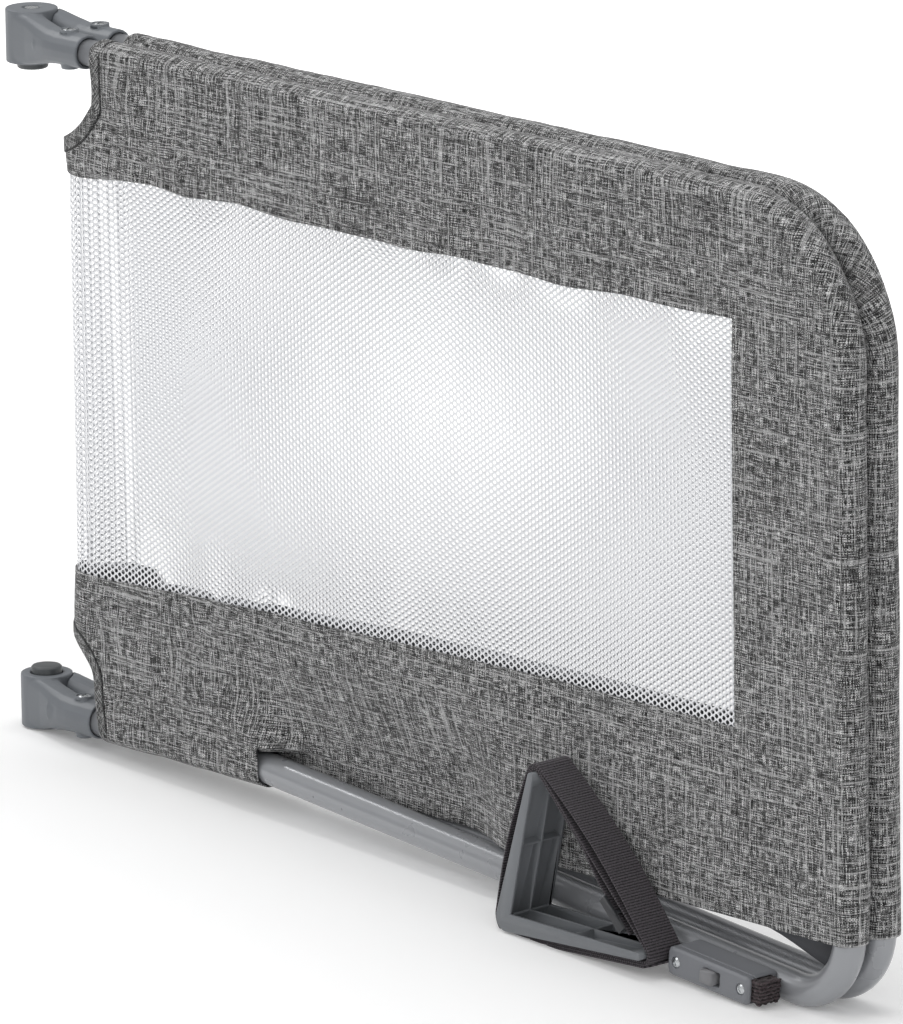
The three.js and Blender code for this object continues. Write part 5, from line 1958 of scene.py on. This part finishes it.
@dataclass
class Strap:
    """The webbing strap wound round the anchor's three corners, with its lead into the clamp.

    Args:
        layout: The rail's shared places.
        slack: How far the outermost turn stands off the slant.
        side_slack: How far the outermost turn stands off the upright.
    """

    layout: Layout
    corner: tuple[float, float] = (468.5, 10.4)
    upright: tuple[float, float] = (103.6, 72.1)
    foot: tuple[float, float] = (124.1, 2.9)
    tip_radius: float = 2.25
    corner_radius: float = 8.0
    first_layer: float = 1.0
    pitch: float = 1.4
    loops: int = 3
    slack: float = 5.0
    side_slack: float = 3.4
    middle_y: float = -40.5
    width: float = 25.0
    thickness: float = 1.15
    step: float = 9.0
    tail: tuple = ((112, 3.6), (76, 3.6), (54, 0.0))
    lead_turn: float = 23.0
    lead_width: float = 12.0
    lead_y: float = -29.5
    mouth: tuple[float, float] = (604.8, 16.2)

    @staticmethod
    def polar(angle: float, size: float = 1.0) -> Vector:
        """A vector in XZ at an angle in degrees."""
        turn = math.radians(angle)
        return Vector((math.cos(turn), math.sin(turn))) * size

    def stops(self) -> list[tuple[Vector, float, float]]:
        """The strap's middle line in millimetres, as (place in XZ, y, width) from its tail to its mouth.

        Returns:
            The stops along the line.
        """
        corner = Vector(self.corner)
        (up_length, up_angle), (foot_length, foot_angle) = self.upright, self.foot
        up_out, foot_out = self.polar(up_angle + 90), self.polar(foot_angle - 90)
        top_pivot = corner + self.polar(up_angle, up_length) - up_out * self.tip_radius
        foot_pivot = corner + self.polar(foot_angle, foot_length) - foot_out * self.tip_radius
        inside = corner - (up_out + foot_out) * self.corner_radius / (1 + up_out.dot(foot_out))
        slant = (top_pivot - foot_pivot).normalized()
        top = math.degrees(math.atan2(slant.y, slant.x)) - 90
        left, bottom = up_angle + 90, foot_angle + 270
        wraps = ((top_pivot, self.tip_radius, top, left), (inside, self.corner_radius, left, bottom),
                 (foot_pivot, self.tip_radius, bottom, top + 360))

        def on_wrap(wrap: tuple, angle: float, loop: int) -> Vector:
            """The place on a corner's wrap at an angle, on one loop of the winding."""
            pivot, radius = wrap[:2]
            layer = self.first_layer + self.pitch * (angle + 360 * loop - top) / 360
            return pivot + self.polar(angle, radius + layer)

        start = on_wrap(wraps[0], top, 0)
        line = [(start - slant * reach - self.polar(top, sink), self.middle_y, self.width)
                for reach, sink in self.tail]
        for loop in range(self.loops):
            for wrap in wraps if loop + 1 < self.loops else wraps[:-1]:
                if loop == self.loops - 1:
                    begin, end = line[-1][0], on_wrap(wrap, wrap[2], loop)
                    rise = self.slack if wrap is wraps[0] else self.side_slack
                    for share in (0.12, 0.25, 0.4, 0.55, 0.7, 0.82, 0.92):
                        out = self.polar(wrap[2], rise * math.sin(math.pi * share))
                        line.append((begin.lerp(end, share) + out, self.middle_y, self.width))
                count = round((wrap[3] - wrap[2]) / self.step)
                for i in range(count + 1):
                    angle = lerp(wrap[2], wrap[3], i / count)
                    line.append((on_wrap(wrap, angle, loop), self.middle_y, self.width))
        last = self.loops - 1
        turned = on_wrap(wraps[2], bottom + self.lead_turn, last)
        line.append((on_wrap(wraps[2], bottom, last), self.middle_y, self.width))
        line.append((turned, lerp(self.middle_y, self.lead_y, 0.2), lerp(self.width, self.lead_width, 0.2)))
        line.append((turned.lerp(Vector(self.mouth), 0.5), lerp(self.middle_y, self.lead_y, 0.8),
                     lerp(self.width, self.lead_width, 0.8)))
        line.append((Vector(self.mouth), self.lead_y, self.lead_width))
        return line

    def build(self, finishes: Finishes) -> None:
        """Makes the strap.

        Args:
            finishes: The materials.
        """
        line = []
        stops = self.stops()
        for (place, y, width), (next_place, next_y, next_width) in zip(stops, stops[1:]):
            count = max(1, round((next_place - place).length / 6))
            line += [(place.lerp(next_place, i / count), lerp(y, next_y, i / count),
                      lerp(width, next_width, i / count)) for i in range(count)]
        line.append(stops[-1])
        lengths = lengths_to([stop[0] for stop in line])
        count = len(line) - 1

        def place(s: float, t: float) -> Vector:
            """The place of the strap's middle at two shares."""
            spot, y, width = line[round(s * count)]
            return Vector((spot.x, y + (t - 0.5) * width, spot.y)) * MM

        bm = sheet_patch(count, 8, place, lambda s, t: (lengths[round(s * count)] * MM, t * self.width * MM))
        self.layout.seat(bm)
        show(
            "anchor_strap_webbing", bm, finishes.strap, Side.FRONT.body, "strap", ["anchor_strap"],
            modifiers=[("SOLIDIFY", {"thickness": self.thickness * MM, "offset": 0.0}),
                       ("BEVEL", {"width": 0.3 * MM, "segments": 2, "limit_method": "ANGLE",
                                  "angle_limit": math.radians(50)})],
        )


@dataclass(frozen=True)
class EdgedNode:
    """A frame node with flat faces, merged and given small rounded edges."""

    node: str
    body: str
    edge: float = 0.35 * MM

    def build(self, material: Material, slot: str) -> None:
        """Makes the edged copy and hides the node.

        Args:
            material: Its finish.
            slot: The record's material slot.
        """
        bm = node_mesh(self.node)
        bmesh.ops.dissolve_limit(bm, angle_limit=math.radians(1), verts=bm.verts, edges=bm.edges)
        show(
            f"{self.node}_skin", bm, material, self.body, slot, [self.node],
            modifiers=[("BEVEL", {"width": self.edge, "segments": 2, "limit_method": "ANGLE",
                                  "angle_limit": math.radians(28), "harden_normals": True})],
        )


@dataclass(frozen=True)
class ButtonSpring:
    """The coil spring behind a hinge's button.

    Args:
        level: The hinge, upper or lower.
        side: The half that it rides on.
        travel: How far the button goes in; not used.
    """

    level: str
    side: Side
    travel: float = 3.4 * MM

    def build(self, finishes: Finishes) -> None:
        """Makes the coil and hides the node.

        Args:
            finishes: The materials.
        """
        node = f"{self.level}_spring"
        low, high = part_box(node)
        button_low, button_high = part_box(f"{self.level}_button")
        below = (button_low + button_high).z < (low + high).z
        anchor = (low + high) / 2
        anchor.z = high.z if below else low.z
        piece = show(f"{node}_coil", node_mesh(node), finishes.zinc, self.side.body, "zinc", [node])
        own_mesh(piece)


def dress_nodes(layout: Layout, finishes: Finishes) -> None:
    """Makes the hinges, the anchor and the clamp.

    Args:
        layout: The rail's shared places.
        finishes: The materials.
    """
    up, forward = Vector((0, 0, 1)), Vector((0, -1, 0))
    for level, spring_side in (("upper", Side.REAR), ("lower", Side.FRONT)):
        for side in Side:
            Knuckle(level, side).build(layout, finishes)
            CrossHead(f"{level}_{side.value}_socket_screw", side.body, 4.6 * MM, up).build(finishes)
        EdgedNode(f"{level}_button", f"{level}_button", 0.9 * MM).build(finishes.button, "button")
        ButtonSpring(level, spring_side).build(finishes)
    EdgedNode("anchor_bracket", Side.FRONT.body, 0.45 * MM).build(finishes.anchor, "anchor_plastic")
    EdgedNode("strap_buckle", Side.FRONT.body, 0.5 * MM).build(finishes.buckle, "buckle")
    Strap(layout).build(finishes)
    for name, rounds in (("clamp_body", 26), ("clamp_front", 12)):
        Moulding(name, Side.FRONT.body, 0.4 * MM, rounds).build(finishes.clamp, "clamp_plastic")
    for name in ("clamp_screw_left", "clamp_screw_right"):
        CrossHead(name, Side.FRONT.body, 3.1 * MM, forward).build(finishes)
    EdgedNode("clamp_switch", "clamp_switch", 0.5 * MM).build(finishes.switch, "clamp_switch")
    Moulding("strap_tail", Side.FRONT.body, 0.5 * MM, 6, 1.5 * MM).build(finishes.strap_end, "strap")


def dress_frame(frame: dict, finishes: Finishes) -> None:
    """Gives every CAD node that still shows its finish.

    Args:
        finishes: The materials.
    """
    by_word = (("tube", finishes.tube), ("rivet", finishes.zinc), ("screw", finishes.zinc),
               ("axle", finishes.zinc), ("spring", finishes.zinc), ("knuckle", finishes.hinge),
               ("button", finishes.button),
               ("cover", finishes.cloth), ("binding", finishes.binding), ("mesh", finishes.net),
               ("bracket", finishes.anchor), ("buckle", finishes.buckle), ("strap", finishes.strap),
               ("switch", finishes.switch), ("clamp", finishes.clamp))
    for name, node in frame["nodes"].items():
        material = next(finish for word, finish in by_word if word in name)
        node.data.materials.clear()
        node.data.materials.append(material)


# Studio


@dataclass(frozen=True)
class Studio:
    """Floor, lamps and the camera at the photograph's viewing angle."""

    layout: Layout
    azimuth: float = math.radians(48.486)
    elevation: float = math.radians(13.978)
    roll: float = math.radians(-0.837)
    distance: float = 7.3055
    shift_right: float = 0.246434
    shift_up: float = 0.094923
    aim_z: float = 0.0685
    lens: float = 421.875
    sensor: float = 36.0
    foot_height: float = 33.5 * MM
    slope_reach: float = 690 * MM
    world_light: float = 0.45

    def camera(self) -> None:
        """Places the camera."""
        back = Vector((
            math.sin(self.azimuth) * math.cos(self.elevation),
            -math.cos(self.azimuth) * math.cos(self.elevation), math.sin(self.elevation),
        ))
        right = Vector((math.cos(self.azimuth), math.sin(self.azimuth), 0))
        up = back.cross(right)
        rolled_right = right * math.cos(self.roll) + up * math.sin(self.roll)
        rolled_up = up * math.cos(self.roll) - right * math.sin(self.roll)
        place = back * self.distance + rolled_right * self.shift_right + rolled_up * self.shift_up
        place += Vector((0, 0, self.aim_z)) + self.layout.fold
        data = bpy.data.cameras.new("camera")
        data.lens = self.lens
        data.sensor_width = self.sensor
        data.sensor_fit = "AUTO"
        data.clip_end = 40
        camera = new_object("camera", data)
        turn = Matrix((rolled_right, rolled_up, back)).transposed()
        camera.matrix_world = Matrix.Translation(place) @ turn.to_4x4()
        bpy.context.scene.camera = camera

    def floor(self) -> None:
        """A pale floor that rises a little to the lower hinge's foot."""
        bm = bmesh.new()
        bmesh.ops.create_circle(bm, cap_ends=False, segments=96, radius=self.slope_reach)
        rim = list(bm.edges)
        outer = of_kind(bmesh.ops.extrude_edge_only(bm, edges=rim)["geom"], bmesh.types.BMVert)
        bmesh.ops.scale(bm, vec=(20, 20, 1), verts=outer)
        tip = of_kind(bmesh.ops.extrude_edge_only(bm, edges=rim)["geom"], bmesh.types.BMVert)
        bmesh.ops.scale(bm, vec=(0.001, 0.001, 1), verts=tip)
        bmesh.ops.translate(bm, vec=(0, 0, self.foot_height), verts=tip)
        slopes = [edge for edge in bm.edges if (edge.verts[0] in tip) != (edge.verts[1] in tip)]
        bmesh.ops.subdivide_edges(bm, edges=slopes, cuts=8)
        bmesh.ops.recalc_face_normals(bm, faces=bm.faces)
        bmesh.ops.translate(bm, vec=self.layout.fold + Vector((0, 0, -0.2 * MM)), verts=bm.verts)
        floor = new_object("floor", new_mesh("floor", bm))
        floor.data.materials.append(self.floor_paper())

    def floor_paper(self) -> Material:
        """White paper that the camera sees as white outside the shadows.

        Returns:
            The material.
        """
        shader = Shader("floor_paper")
        shader.set(Base_Color=(0.92, 0.92, 0.92, 1), Roughness=0.9, Specular_IOR_Level=0.1)
        path = shader.node("LightPath")
        seen = shader.math("MAXIMUM", path.outputs["Is Camera Ray"], path.outputs["Is Glossy Ray"])
        seen = shader.math("MAXIMUM", seen, path.outputs["Is Transmission Ray"])
        reach = shader.node("VectorMath", {0: shader.place}, operation="LENGTH").outputs["Value"]
        far = shader.node("MapRange", {"Value": reach, "From Min": 0.6, "From Max": 1.8,
                                       "To Min": 0.16, "To Max": 0.6}).outputs[0]
        shader.set(Emission_Color=(1, 1, 1, 1), Emission_Strength=shader.math("MULTIPLY", seen, far))
        return shader.material

    def light(self) -> None:
        """A white world, plain to the camera and softer on the object, and four soft lamps."""
        world = bpy.data.worlds.new("studio")
        bpy.context.scene.world = world
        world.use_nodes = True
        nodes = Nodes(world.node_tree)
        path = nodes.node("LightPath").outputs
        seen = nodes.math("MAXIMUM", path["Is Camera Ray"], path["Is Transmission Ray"])
        strength = nodes.node("MapRange", {"Value": seen, "To Min": self.world_light, "To Max": 1.0})
        background = world.node_tree.nodes["Background"].inputs
        nodes.feed(background["Strength"], strength.outputs[0])
        nodes.feed(background["Color"], (1, 1, 1, 1))
        for name, place, size, power in (
            ("key_lamp", (-1.2, -2.6, 2.6), 2.2, 30), ("fill_lamp", (2.8, -1.6, 1.5), 2.0, 14),
            ("top_lamp", (0.2, 0.4, 3.2), 2.0, 30), ("line_lamp", (-2.7, -0.1, 2.5), 0.9, 22),
        ):
            data = bpy.data.lights.new(name, "AREA")
            data.size = size
            data.energy = power
            spot = Vector(place)
            turn = (Vector((0, 0, 0.2)) - spot).to_track_quat("-Z", "Y")
            new_object(name, data).matrix_world = Matrix.Translation(spot) @ turn.to_matrix().to_4x4()

    def build(self) -> None:
        """Makes the studio."""
        scene = bpy.context.scene
        scene.view_settings.view_transform = "Standard"
        self.camera()
        self.floor()
        self.light()


def main() -> None:
    """Builds the rail's sub-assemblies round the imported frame."""
    logging.basicConfig(level=logging.INFO, format="%(name)s: %(message)s")
    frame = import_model()
    layout = Layout.from_frame()
    Studio(layout).build()
    finishes = Finishes()
    dress_frame(frame, finishes)
    covers = {}
    for seed, side in enumerate(Side):
        TubeFrame(layout, side).build(finishes)
        cover = Cover(layout, side, ClothPlane(layout, seed * 17.0))
        cloth = cover.build(finishes)
        tapes = cover.bind(finishes)
        net = WindowNet(cover).build(finishes)
        covers[side] = (cover, cloth, tapes, net)
    gussets = FoldGusset(covers[Side.FRONT][0]).build(finishes)
    dress_nodes(layout, finishes)


if __name__ == "__main__":
    main()
